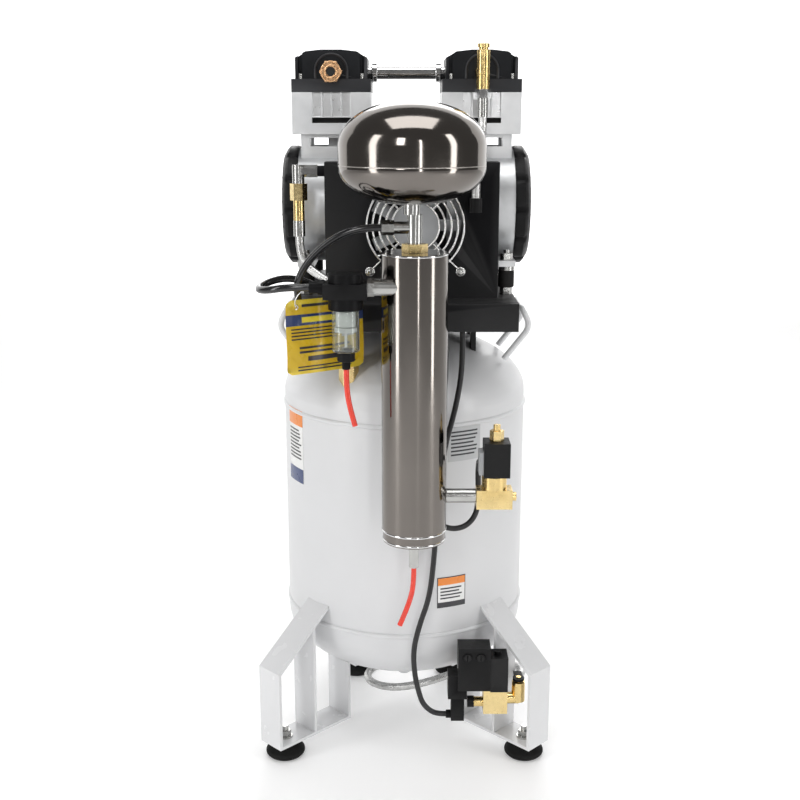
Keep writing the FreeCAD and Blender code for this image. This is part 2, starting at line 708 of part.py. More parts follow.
def cooler():
    body = new_body("Box")
    drawn = new_sketch(body, "XZ_Plane", "box_back")
    square(drawn, ("box_left", "box_right"), ("deck_top", "deck_top + box_high"))
    pad(body, drawn, "box_deep")
    doc.recompute()
    hollow = new_sketch(body, "XZ_Plane", "box_back")
    square(hollow, ("box_left + box_wall", "box_right - box_wall"),
           ("deck_top + box_wall", "deck_top + box_high - box_wall"))
    pocket(body, hollow, "box_deep - box_wall", flip=True)
    mouth = new_sketch(body, "XZ_Plane", "box_front")
    circle(mouth, "fan_x", "fan_z", "fan_open")
    pocket(body, mouth, "box_wall")
    outlet_y = "-box_front + 7"
    outlet = [rod(6, ("box_left - 8", outlet_y, "deck_top + 145"), 8, X),
              hexagon(7, ("box_left - 29", outlet_y, "deck_top + 145"), 21, X),
              rod(7, ("box_left - 30", outlet_y, "deck_top + 131"), 21),
              hexagon(10, ("box_left - 30", outlet_y, "deck_top + 112"), 19),
              rod(6.4, ("box_left - 30", outlet_y, "deck_top + 89"), 23),
              rod(6.8, ("box_left - 30", outlet_y, "deck_top + 71"), 18)]
    inlet = [rod(6, (80, "-box_front - 17", "deck_top + 108"), 17, Y),
             rod(7, (80, "-box_front - 17", "deck_top + 100"), 16)]
    union_y = "-box_back - 9"
    union = [rod(4.5, ("box_left - 7", union_y, "deck_top + 9"), 7, X),
             rod(6, ("box_left - 7", f"{union_y} - 8", "deck_top + 9"), 14, Y)]
    keep("cooler_box", fuse(body, *outlet, *inlet, *union))
    half, middle = "fan_side / 2", "-box_front + box_wall"
    frame = cut(box((f"fan_x - {half}", f"fan_x + {half}"), (middle, f"{middle} + fan_deep"),
                    (f"fan_z - {half}", f"fan_z + {half}")),
                rod("fan_open", ("fan_x", middle, "fan_z"), "fan_deep", Y))
    back = f"{middle} + fan_deep - 4"
    arms = []
    for step in range(4):
        arm = box((0, "fan_open + 1"), (0, 4), (-3, 3))
        arm.Placement = FreeCAD.Placement(V(0, 0, 0), FreeCAD.Rotation(Y, 45 + 90 * step))
        low = math.radians(45 + 90 * step)
        bind(arm, at=(f"fan_x - 3 * {math.sin(low)}", back, f"fan_z - 3 * {math.cos(low)}"))
        arms.append(arm)
    seat = fuse(rod("hub_rad", ("fan_x", back, "fan_z"), 4, Y),
                rod(4, ("fan_x", f"{back} - 10", "fan_z"), 10, Y))
    keep("fan_frame", fuse(frame, seat, *arms))
    keep("fan_impeller", impeller(f"{middle} + 2"))
    keep("fan_guard", guard())
    deep = -(num("box_front") + num("box_back")) / 2
    low, high = num("deck_top") + 9, num("deck_top") + num("box_high") - 9
    left, right = num("box_left") + 9, num("box_right") - 9
    route = [(right - 19, deep, high), (right, deep, high), (right, deep, low),
             (left + 27, deep, low), (left, deep, low + 27), (left, deep, high)]
    keep("cooler_coil", shape_only(bar_shape(route, 4)))


def impeller(front):
    hub = cut(rod("hub_rad", ("fan_x", front, "fan_z"), 16, Y),
              rod("4 + run_gap", ("fan_x", f"{front} + 6", "fan_z"), 10, Y))
    blades = []
    for step in range(7):
        angle = 360 / 7 * step
        twist = FreeCAD.Rotation(Y, angle).multiply(FreeCAD.Rotation(X, 40))
        off = twist.multVec(V(0, -1, -8.5))
        cos, sin = math.cos(math.radians(angle)), math.sin(math.radians(angle))
        blade = doc.addObject("Part::Box", "Vane")
        blade.Placement = FreeCAD.Placement(V(0, 0, 0), twist)
        bind(blade, at=(f"fan_x + {off.x} + {cos} * (hub_rad - 3)", f"{front} + 8 + {off.y}",
                        f"fan_z + {off.z} - {sin} * (hub_rad - 3)"),
             Length="blade_rad - hub_rad + 2", Width=2, Height=17)
        blades.append(blade)
    return fuse(hub, *blades)


def guard():
    """Round guard of rings and spokes with its four screw eyes."""
    thick = "2 * wire_rad"
    front = f"-box_front - {thick} - 0.2"
    wires = []
    for step in range(5):
        middle = f"fan_open - {7.3 * step}"
        wires.append(cut(rod(f"{middle} + wire_rad", ("fan_x", front, "fan_z"), thick, Y),
                         rod(f"{middle} - wire_rad", ("fan_x", front, "fan_z"), thick, Y)))
    for step in range(4):
        angle = 45 + 90 * step
        cos, sin = math.cos(math.radians(angle)), math.sin(math.radians(angle))
        spoke = box((0, "fan_open * 0.8"), (0, thick), (0, thick))
        spoke.Placement = FreeCAD.Placement(V(0, 0, 0), FreeCAD.Rotation(Y, -angle))
        wires.append(bind(spoke, at=(f"fan_x + {cos} * fan_open * 0.45 + {sin} * wire_rad", front,
                                     f"fan_z + {sin} * fan_open * 0.45 - {cos} * wire_rad")))
    eyes = []
    for a in (-1, 1):
        for b in (-1, 1):
            east, up = f"fan_x + {a} * screw_pitch / 2", f"fan_z + {b} * screw_pitch / 2"
            eyes.append(rod(5, (east, f"{front} - 2", up), f"{thick} + 2", Y))
    return fuse(*wires, *eyes)


# ---- dryer, bulb and filter ----

def dryer():
    front = "-dryer_y"
    wall = "dryer_rad - dryer_wall"
    keep("dryer_cylinder", spun("Dryer", [
        (6, "dryer_foot"), ("dryer_rad - 1", "dryer_foot"), ("dryer_rad - 1", "dryer_foot + 12"),
        ("dryer_rad", "dryer_foot + 12"), ("dryer_rad", "dryer_top"), (9, "dryer_top"),
        (9, "dryer_top - 3"), (wall, "dryer_top - 3"), (wall, "dryer_foot + 3"),
        (6, "dryer_foot + 3")], ("dryer_x", front, 0)))
    keep("desiccant_bed", rod("dryer_rad - dryer_wall - 1", ("dryer_x", front, "dryer_foot + 30"),
                              "dryer_len - 70"))
    at = ("bulb_x", front)
    mid = "bulb_mid"
    outside = fuse(half_ball("bulb_rad", "bulb_dome", (*at, f"{mid} + bulb_side")),
                   rod("bulb_rad", (*at, mid), "bulb_side"),
                   half_ball("bulb_rad", "bulb_dome", (*at, mid), False))
    inside = fuse(half_ball("bulb_rad - 1.5", "bulb_dome - 1.5", (*at, f"{mid} + bulb_side")),
                  rod("bulb_rad - 1.5", (*at, mid), "bulb_side"),
                  half_ball("bulb_rad - 1.5", "bulb_dome - 1.5", (*at, mid), False))
    keep("expansion_bulb", cut(outside, inside))
    tee_z = "dryer_top + 26"
    tee = fuse(rod(9, ("bulb_x", front, "bulb_foot - 10"), 10),
               rod(8.2, ("dryer_x", front, "dryer_top - 3"), "bulb_foot - 7 - dryer_top"),
               hexagon(14, ("dryer_x", front, "dryer_top + 0.2"), 9),
               rod(6.5, ("dryer_x - 22", front, tee_z), 22, X),
               hexagon(8, ("dryer_x - 35", front, tee_z), 13, X))
    stub = fuse(rod(8.9, ("filter_x + filter_half + 6", "-filter_y + 1", "filter_port"), 30, X),
                hexagon(10, ("filter_x + filter_half + 0.2", "-filter_y + 1", "filter_port"), 7, X))
    stub = cut(stub, rod("dryer_rad", ("dryer_x", front, "dryer_foot"), "dryer_len"))
    nipple = cut(rod(8, ("dryer_x", "-purge_y - 12", "purge_z"), "purge_x - 20 - dryer_x", X),
                 rod("dryer_rad", ("dryer_x", front, "dryer_foot"), "dryer_len"))
    drain = fuse(rod(5.5, ("dryer_x", front, "dryer_foot - 34"), 34),
                 hexagon(7.5, ("dryer_x", front, "dryer_foot - 9"), 9))
    keep("dryer_fittings", group(tee, stub, nipple, drain))
    cylinder = rod("dryer_rad", ("dryer_x", front, "dryer_foot"), "dryer_len")
    low = cut(box(("dryer_x - 14", "dryer_x + 14"), (front, 0), ("low_bead + 180", "low_bead + 204")),
              cylinder, tank_envelope())
    high = cut(box(("dryer_x - 14", "dryer_x + 14"), (front, "-deck_y"),
                   ("deck_foot + 4", "deck_top - 4")), cylinder)
    keep("dryer_bracket", group(low, high))


def water_filter():
    east, front = "filter_x", "-filter_y"
    body = new_body("FilterHead")
    drawn = new_sketch(body, "XZ_Plane", "filter_y - filter_half * 0.8")
    square(drawn, (f"{east} - filter_half", f"{east} + filter_half"),
           ("filter_foot + 12", "filter_top - 10"))
    pad(body, drawn, "filter_half * 1.6")
    dome = rod("filter_half * 0.8", (east, front, "filter_foot"), "filter_high")
    inlet = fuse(rod(6.5, (f"{east} - filter_half - 15", front, "filter_port"), 16, X),
                 rod(8, (f"{east} - filter_half - 6", front, "filter_port"), 7, X))
    seat = rod("bowl_rad + 0.2", (east, front, "filter_foot - 1"), 7)
    head = cut(fuse(body, dome, inlet), seat)
    cap = fuse(rod("bowl_rad - 5", (east, front, "filter_foot - bowl_high - 11"), 11),
               rod(4.5, (east, front, "filter_foot - bowl_high - 20"), 10))
    keep("filter_head", group(head, cap))
    low = "filter_foot - bowl_high"
    bowl = cut(rod("bowl_rad", (east, front, low), "bowl_high + 6"),
               rod("bowl_rad - 1.5", (east, front, f"{low} + 2"), "bowl_high + 4"))
    keep("filter_bowl", bowl)
    element = fuse(rod("bowl_rad - 4", (east, front, "filter_foot - 18"), 16),
                   rod("bowl_rad - 2.5", (east, front, "filter_foot - 24"), 5),
                   rod(1.5, (east, front, f"{low} + 4"), "bowl_high - 22"))
    keep("filter_element", element)


def purge_valve():
    """Solenoid valve on the dryer's side outlet."""
    east, north = "purge_x", "-purge_y - 12"
    body = fuse(box((f"{east} - 20", f"{east} + 20"), (f"{north} - 11", f"{north} + 11"),
                    ("purge_z - 13", "purge_z + 9")),
                rod(14, (east, north, "purge_z + 9"), 15),
                rod(5, (f"{east} + 20", north, "purge_z - 1"), 5, X),
                hexagon(8, (f"{east} + 2", north, "purge_z + 63.5"), 12),
                rod(4, (f"{east} + 2", north, "purge_z + 60"), 22))
    core = rod(5, (f"{east} + 2", north, "purge_z + 20"), 42)
    keep("purge_valve", fuse(body, core))
    half = "coil_half"
    coil = cut(box((f"{east} + 2 - {half}", f"{east} + 2 + {half}"),
                   (f"{north} - {half}", f"{north} + {half}"), ("purge_z + 24.2", "purge_z + 63.3")),
               rod(5.1, (f"{east} + 2", north, "purge_z + 20"), 50))
    tab = box((f"{east} + 2 - {half} - 5", f"{east} + 2 - {half}"), (f"{north} - 9", f"{north} + 12"),
              ("purge_z + 26", "purge_z + 52"))
    keep("purge_valve_coil", fuse(coil, tab))


def drain_valve():
    """Timed drain at the foot of the tank: ball valve, solenoid body, coil and timer."""
    north = "-drain_y"
    brass = fuse(box((95, 124), (f"{north} - 11", f"{north} + 11"), ("drain_z - 16", "drain_z + 14")),
                 rod(6, (84, north, "drain_z - 5"), 12, X),
                 rod(7, (124, north, "drain_z"), 14, X),
                 rod(8, (138, north, "drain_z - 3"), 25),
                 rod(6.5, (138, north, "drain_z + 10"), 14, Y))
    silencer = rod(7, (76, north, "drain_z - 5"), 8, X)
    post = rod(3, (138, north, "drain_z + 22"), 6)
    keep("drain_valve", fuse(brass, silencer, post))
    coil = box((103, 124), (f"{north} - 14", f"{north} + 14"), ("drain_z + 14.2", "drain_z + 58"))
    nub = rod(4, (112, north, "drain_z + 58"), 4)
    clock = cut(box((64, 103), (f"{north} - 15", f"{north} + 13"), ("drain_z + 16", "drain_z + 71")),
                rod(5.2, (75, f"{north} - 16", "drain_z + 60"), 5, Y),
                rod(5.2, (91, f"{north} - 16", "drain_z + 60"), 5, Y))
    plug = fuse(box((52, 75), (f"{north} - 14", f"{north} + 8"), ("drain_z + 5", "drain_z + 35")),
                box((56, 72), (f"{north} - 10", f"{north} + 6"), ("drain_z - 26", "drain_z + 6")),
                rod(5, (50, f"{north} - 3", "drain_z - 20"), 8, X))
    keep("drain_timer", fuse(coil, nub, clock, plug))
    for name, east in (("off_time_dial", 75), ("on_time_dial", 91)):
        dial = cut(rod(4.9, (east, f"{north} - 16.5", "drain_z + 60"), 5, Y),
                   box((east - 0.6, east + 0.6), (f"{north} - 17", f"{north} - 15.3"),
                       ("drain_z + 56", "drain_z + 64")))
        keep(name, dial)
    eye = cut(rod(7, (138, north, "drain_z + 24"), 3), rod(3.06, (138, north, "drain_z + 24"), 3))
    arm = box((133, 143), (f"{north} + 5", f"{north} + 17"), ("drain_z + 24", "drain_z + 27"))
    keep("ball_valve_lever", cut(fuse(eye, arm), rod(3.06, (138, north, "drain_z + 24"), 3)))


# ---- rear controls ----

def controls():
    """Manifold, pressure switch, gauges and outlet on the rear of the tank."""
    back, mid = "tank_rad", "high_bead - 40"
    neck = cut(rod(11, (0, "tank_rad - 8", mid), 34, Y), tank_envelope())
    block = box((-55, 55), (f"{back} + 24", f"{back} + 48"), (f"{mid} - 14", f"{mid} + 14"))
    riser = rod(8, (0, f"{back} + 36", f"{mid} + 14"), 12)
    outlet = cut(fuse(rod(9, (55, f"{back} + 36", mid), 14, X),
                      hexagon(13, (69, f"{back} + 36", mid), 10, X),
                      rod(11, (79, f"{back} + 36", mid), 18, X)),
                 rod(5, (67, f"{back} + 36", mid), 30, X))
    keep("control_manifold", fuse(neck, block, riser, outlet))
    base = f"{mid} + 26"
    shell = new_body("SwitchShell")
    drawn = new_sketch(shell, "XY_Plane", base)
    square(drawn, (-34, 34), (f"{back} + 8", f"{back} + 62"))
    pad(shell, drawn, 72)
    doc.recompute()
    rim = new_sketch(shell, "XZ_Plane", f"-({back}) - 62")
    square(rim, (-27, 27), (f"{base} + 8", f"{base} + 64"))
    pocket(shell, rim, 1.5, flip=True)
    post = rod(4, (34, f"{back} + 36", f"{base} + 40"), 6, X)
    inlet = rod(8, (-44, f"{back} + 36", f"{base} + 16"), 10, X)
    keep("pressure_switch", fuse(shell, post, inlet))
    eye = rod(8, (34.4, f"{back} + 36", f"{base} + 40"), 5, X)
    arm = box((34.4, 38.4), (f"{back} + 32.5", f"{back} + 39.5"), (f"{base} + 40", f"{base} + 66"))
    keep("switch_lever", cut(fuse(eye, arm), rod(4.06, (34, f"{back} + 36", f"{base} + 40"), 8, X)))
    dials = []
    for east in (-38, 38):
        dials.append(fuse(rod(5, (east, f"{back} + 48", mid), 8, Y),
                          cut(rod(20, (east, f"{back} + 56", mid), 16, Y),
                              rod(18, (east, f"{back} + 69", mid), 4, Y))))
    keep("pressure_gauges", group(*dials))


def hang_tag():
    """A card hung at an angle on a wire tie from the filter's inlet."""
    card = doc.addObject("Part::Box", "Card")
    east, south, low = num("filter_x"), -num("filter_y"), num("filter_foot")
    middle = V(east - 24, south + 38, low - 33.7)
    corner = FreeCAD.Rotation(Z, 35).multVec(V(-49, 0, -40.7)) + middle
    card.Placement = FreeCAD.Placement(corner, FreeCAD.Rotation(Z, 35))
    bind(card, Length=98, Width=0.8, Height=81.4)
    loop = [(east - 56, south + 16, low - 7), (east - 56, south + 12, low + 5),
            (east - 50, south + 9, low + 15), (east - 41, south + 7.5, low + 21),
            (east - 33, south + 7, low + 23)]
    keep("hang_tag", fuse(card, shape_only(bar_shape(loop, 0.8))))


# ---- cords: every route is a list of points chosen by hand ----

CORDS = {
    "dryer_air_tube": (4, [
        (-25, -215, 656), (-48, -215, 656), (-76, -213, 645), (-101, -208, 624),
        (-116, -203, 600), (-117, -199, 580), (-114, -192, 565), (-109, -182, 555),
        (-103, -170, 550), (-102, -156, 550)]),
    "filter_air_tube": (4, [
        (-101, -238, 596), (-124, -238, 596), (-147, -228, 591), (-160, -206, 589),
        (-154, -180, 592), (-137, -160, 595), (-118, -143, 591), (-104, -125, 582),
        (-99, -106, 573), (-99, -88, 573)]),
    "filter_drain_tube": (3, [
        (-63, -238, 508), (-63, -238, 489), (-60, -239, 467), (-54, -240, 446)]),
    "dryer_drain_tube": (3, [
        (10, -215, 274), (10, -215, 253), (5, -216, 230), (-6, -218, 204)]),
    "purge_cable": (3.25, [
        (84, -203, 392), (84, -188, 392), (84, -177, 383), (84, -171, 369), (85, -170, 346),
        (83, -171, 320), (68, -171, 304), (46, -171, 304), (31, -171, 320), (32, -171, 345),
        (36, -170, 390), (42, -168, 436), (46, -160, 478), (47, -145, 508), (46, -134, 530),
        (46, -134, 552)]),
    "drain_cable": (3.25, [
        (66, -134, 552), (66, -134, 530), (66, -142, 507), (64, -153, 478), (57, -157, 440),
        (46, -157, 400), (40, -157, 350), (37, -158, 302), (34, -161, 256), (29, -165, 214),
        (17, -168, 180), (10, -169, 148), (12, -169, 116), (17, -167, 93), (21, -166, 79),
        (29, -164, 68), (39, -163, 62), (50, -163, 62)]),
    "pump_hose": (5, [
        (90, -62, 769), (90, -62, 752), (88, -80, 734), (84, -104, 731), (81, -118, 716),
        (80, -120, 696), (80, -120, 680)]),
    "tank_hose": (5, [
        (-122, -96, 635), (-122, -96, 617), (-114, -100, 600), (-96, -107, 588),
        (-78, -111, 578), (-66, -112, 562), (-66, -112, 540)]),
    "drain_hose": (5, [
        (-12, 4, 44), (-27, 4, 44), (-42, -4, 44), (-50, -22, 43), (-46, -42, 43),
        (-30, -56, 43), (-6, -62, 44), (28, -60, 50), (66, -52, 60), (102, -55, 73),
        (128, -70, 83), (146, -92, 89), (148, -114, 92), (138, -130, 92), (138, -146, 92)]),
}


def cords():
    for name, (radius, route) in CORDS.items():
        keep(name, shape_only(bar_shape(route, radius, name)))


tank()
legs()
handles()
platform()
mounts()
pump()
line_fittings()
cooler()
dryer()
water_filter()
purge_valve()
drain_valve()
controls()
hang_tag()
cords()
doc.recompute()

for thing in doc.Objects:
    if "Invalid" in thing.State or "Error" in thing.State:
        raise ValueError(f"{thing.Label} failed: {thing.State}")
for thing in parts:
    if thing.Shape.isNull() or not thing.Shape.isValid() or not thing.Shape.Solids:
        raise ValueError(f"{thing.Label} has no valid solid")
os.makedirs("parts", exist_ok=True)
for thing in parts:
    thing.Shape.exportStep(f"parts/{thing.Label}.step")
print(len(parts), "sub-parts written")
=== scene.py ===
import json
import math
import random

import bmesh
import bpy
from mathutils import Matrix, Vector


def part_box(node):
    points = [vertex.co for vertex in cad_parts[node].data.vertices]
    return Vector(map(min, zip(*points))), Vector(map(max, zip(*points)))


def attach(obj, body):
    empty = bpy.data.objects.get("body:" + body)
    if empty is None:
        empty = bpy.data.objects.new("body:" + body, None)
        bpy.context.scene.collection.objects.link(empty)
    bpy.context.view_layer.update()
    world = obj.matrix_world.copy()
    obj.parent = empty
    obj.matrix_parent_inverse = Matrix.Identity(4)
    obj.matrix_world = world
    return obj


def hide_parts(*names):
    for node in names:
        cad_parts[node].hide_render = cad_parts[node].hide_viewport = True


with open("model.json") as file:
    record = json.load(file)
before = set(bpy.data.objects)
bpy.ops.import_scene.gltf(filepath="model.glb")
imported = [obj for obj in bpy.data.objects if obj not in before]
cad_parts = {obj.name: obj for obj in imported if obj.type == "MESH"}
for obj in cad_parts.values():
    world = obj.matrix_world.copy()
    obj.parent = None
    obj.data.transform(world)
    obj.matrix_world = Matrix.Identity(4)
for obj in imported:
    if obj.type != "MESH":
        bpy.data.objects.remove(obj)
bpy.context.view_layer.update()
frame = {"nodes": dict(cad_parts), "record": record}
random.seed(7)

MM = 0.001
TANK_RAD = 0.152
BULB_AT = (0.007, -0.215)
FAN_AT = (0.012, -0.105, 0.647)


# ---- camera ----

def make_camera():
    data = bpy.data.cameras.new("camera")
    data.lens = 52.6
    data.sensor_width = 36
    camera = bpy.data.objects.new("camera", data)
    camera.location = (-0.0057, -1.456, 0.774)
    camera.rotation_euler = (math.radians(90 - 13.82), 0, 0)
    bpy.context.scene.collection.objects.link(camera)
    bpy.context.scene.camera = camera


make_camera()


# ---- helpers ----

def link(name, mesh):
    piece = bpy.data.objects.new(name, mesh)
    bpy.context.scene.collection.objects.link(piece)
    return piece


def finish_mesh(name, bm, material, smooth=40, body="root"):
    """Turn a bmesh into a smooth-shaded piece that rides on a body."""
    bmesh.ops.recalc_face_normals(bm, faces=bm.faces)
    mesh = bpy.data.meshes.new(name)
    bm.to_mesh(mesh)
    bm.free()
    for face in mesh.polygons:
        face.use_smooth = True
    for face in mesh.polygons:
        if len(face.vertices) > 12:
            face.use_smooth = False
    mesh.set_sharp_from_angle(angle=math.radians(smooth))
    if material is not None:
        mesh.materials.append(material)
    piece = link(name, mesh)
    normals = piece.modifiers.new("Normals", "WEIGHTED_NORMAL")
    normals.keep_sharp = True
    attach(piece, body)
    return piece


def islands(bm):
    """The separate shells of a mesh, each as a list of its vertices."""
    seen, found = set(), []
    for start in bm.verts:
        if start in seen:
            continue
        seen.add(start)
        shell, waiting = [], [start]
        while waiting:
            vert = waiting.pop()
            shell.append(vert)
            for edge in vert.link_edges:
                other = edge.other_vert(vert)
                if other not in seen:
                    seen.add(other)
                    waiting.append(other)
        found.append(shell)
    return found


def round_edges(bm, width, segments=2, angle=28):
    """Round every sharp edge, shell by shell, so a small shell doesn't hold back a large one."""
    limit = math.radians(angle)
    for shell in islands(bm):
        edges = {e for v in shell for e in v.link_edges
                 if len(e.link_faces) == 2 and e.calc_face_angle(0) > limit}
        if edges:
            bmesh.ops.bevel(bm, geom=list(edges), offset=width, segments=segments,
                            affect="EDGES", profile=0.5, clamp_overlap=True)


def softened(node, material, width, segments=2):
    """A copy of a CAD node with rounded edges, in place of the node."""
    source = frame["nodes"][node]
    bm = bmesh.new()
    bm.from_mesh(source.data)
    bmesh.ops.remove_doubles(bm, verts=bm.verts, dist=1e-5)
    bmesh.ops.dissolve_limit(bm, angle_limit=math.radians(1.5), verts=bm.verts, edges=bm.edges)
    round_edges(bm, width, segments)
    body = next(b for b, nodes in frame["record"]["behaviour"]["bodies"].items()
                if node in nodes)
    piece = finish_mesh(node + "_skin", bm, material, body=body)
    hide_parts(node)
    return piece


def lathe(bm, profile, at, axis="Z", steps=96):
    """Spin a profile of (radius, height) points round an axis through a point."""
    rings = []
    turn = {"Z": Matrix.Identity(3), "X": Matrix.Rotation(math.pi / 2, 3, "Y"),
            "Y": Matrix.Rotation(-math.pi / 2, 3, "X")}[axis]
    for radius, height in profile:
        if radius < 1e-6:
            rings.append([bm.verts.new(Vector(at) + turn @ Vector((0, 0, height)))])
            continue
        rings.append([bm.verts.new(Vector(at) + turn @ Vector((
            radius * math.cos(2 * math.pi * i / steps),
            radius * math.sin(2 * math.pi * i / steps), height))) for i in range(steps)])
    for low, high in zip(rings, rings[1:]):
        for i in range(steps):
            j = (i + 1) % steps
            if len(low) == 1:
                bm.faces.new((low[0], high[j], high[i]))
            elif len(high) == 1:
                bm.faces.new((low[i], low[j], high[0]))
            else:
                bm.faces.new((low[i], low[j], high[j], high[i]))
    if len(rings[0]) > 1 and len(rings[-1]) > 1 and profile[0] == profile[-1]:
        bmesh.ops.remove_doubles(bm, verts=rings[0] + rings[-1], dist=1e-7)
    return rings


def torus(bm, radius, wire, at, axis="Y", steps=96, sides=10):
    profile = [(radius + wire * math.cos(2 * math.pi * i / sides),
                wire * math.sin(2 * math.pi * i / sides)) for i in range(sides + 1)]
    profile[-1] = profile[0]
    lathe(bm, profile, at, axis, steps)


# ---- materials ----

def shade(name, colour, rough, metal=0.0, tint=0.06, patch=18.0, grain=900.0, bump=0.08,
          rough_vary=0.08, edge=None, coat=0.0, wear=0.0, deep=0.0004):
    """A surface with patchy colour, uneven gloss, fine grain and worn edges."""
    material = bpy.data.materials.new(name)
    material.use_nodes = True
    nodes, links = material.node_tree.nodes, material.node_tree.links
    shader = nodes["Principled BSDF"]
    place = nodes.new("ShaderNodeTexCoord")
    patches = nodes.new("ShaderNodeTexNoise")
    patches.inputs["Scale"].default_value = patch
    patches.inputs["Detail"].default_value = 6
    patches.inputs["Roughness"].default_value = 0.6
    links.new(place.outputs["Object"], patches.inputs["Vector"])
    ramp = nodes.new("ShaderNodeValToRGB")
    ramp.color_ramp.elements[0].position = 0.3
    ramp.color_ramp.elements[1].position = 0.7
    ramp.color_ramp.elements[0].color = (*[c * (1 - tint) for c in colour], 1)
    ramp.color_ramp.elements[1].color = (*[min(1, c * (1 + tint)) for c in colour], 1)
    links.new(patches.outputs["Fac"], ramp.inputs["Fac"])
    paint = ramp.outputs["Color"]
    if wear > 0:
        shape = nodes.new("ShaderNodeNewGeometry")
        worn = nodes.new("ShaderNodeMapRange")
        worn.inputs["From Min"].default_value = 0.52
        worn.inputs["From Max"].default_value = 0.60
        worn.inputs["To Max"].default_value = wear
        links.new(shape.outputs["Pointiness"], worn.inputs["Value"])
        mix = nodes.new("ShaderNodeMix")
        mix.data_type = "RGBA"
        mix.inputs[7].default_value = (*(edge or colour), 1)
        links.new(worn.outputs["Result"], mix.inputs[0])
        links.new(paint, mix.inputs[6])
        paint = mix.outputs[2]
    links.new(paint, shader.inputs["Base Color"])
    gloss = nodes.new("ShaderNodeTexNoise")
    gloss.inputs["Scale"].default_value = patch * 3.3
    gloss.inputs["Detail"].default_value = 5
    links.new(place.outputs["Object"], gloss.inputs["Vector"])
    spread = nodes.new("ShaderNodeMapRange")
    spread.inputs["From Min"].default_value = 0.3
    spread.inputs["From Max"].default_value = 0.7
    spread.inputs["To Min"].default_value = max(0.03, rough - rough_vary)
    spread.inputs["To Max"].default_value = min(1, rough + rough_vary)
    links.new(gloss.outputs["Fac"], spread.inputs["Value"])
    links.new(spread.outputs["Result"], shader.inputs["Roughness"])
    fine = nodes.new("ShaderNodeTexNoise")
    fine.inputs["Scale"].default_value = grain
    fine.inputs["Detail"].default_value = 3
    links.new(place.outputs["Object"], fine.inputs["Vector"])
    relief = nodes.new("ShaderNodeBump")
    relief.inputs["Strength"].default_value = bump
    relief.inputs["Distance"].default_value = deep
    links.new(fine.outputs["Fac"], relief.inputs["Height"])
    links.new(relief.outputs["Normal"], shader.inputs["Normal"])
    shader.inputs["Metallic"].default_value = metal
    shader.inputs["Coat Weight"].default_value = coat
    shader.inputs["Coat Roughness"].default_value = 0.06
    return material


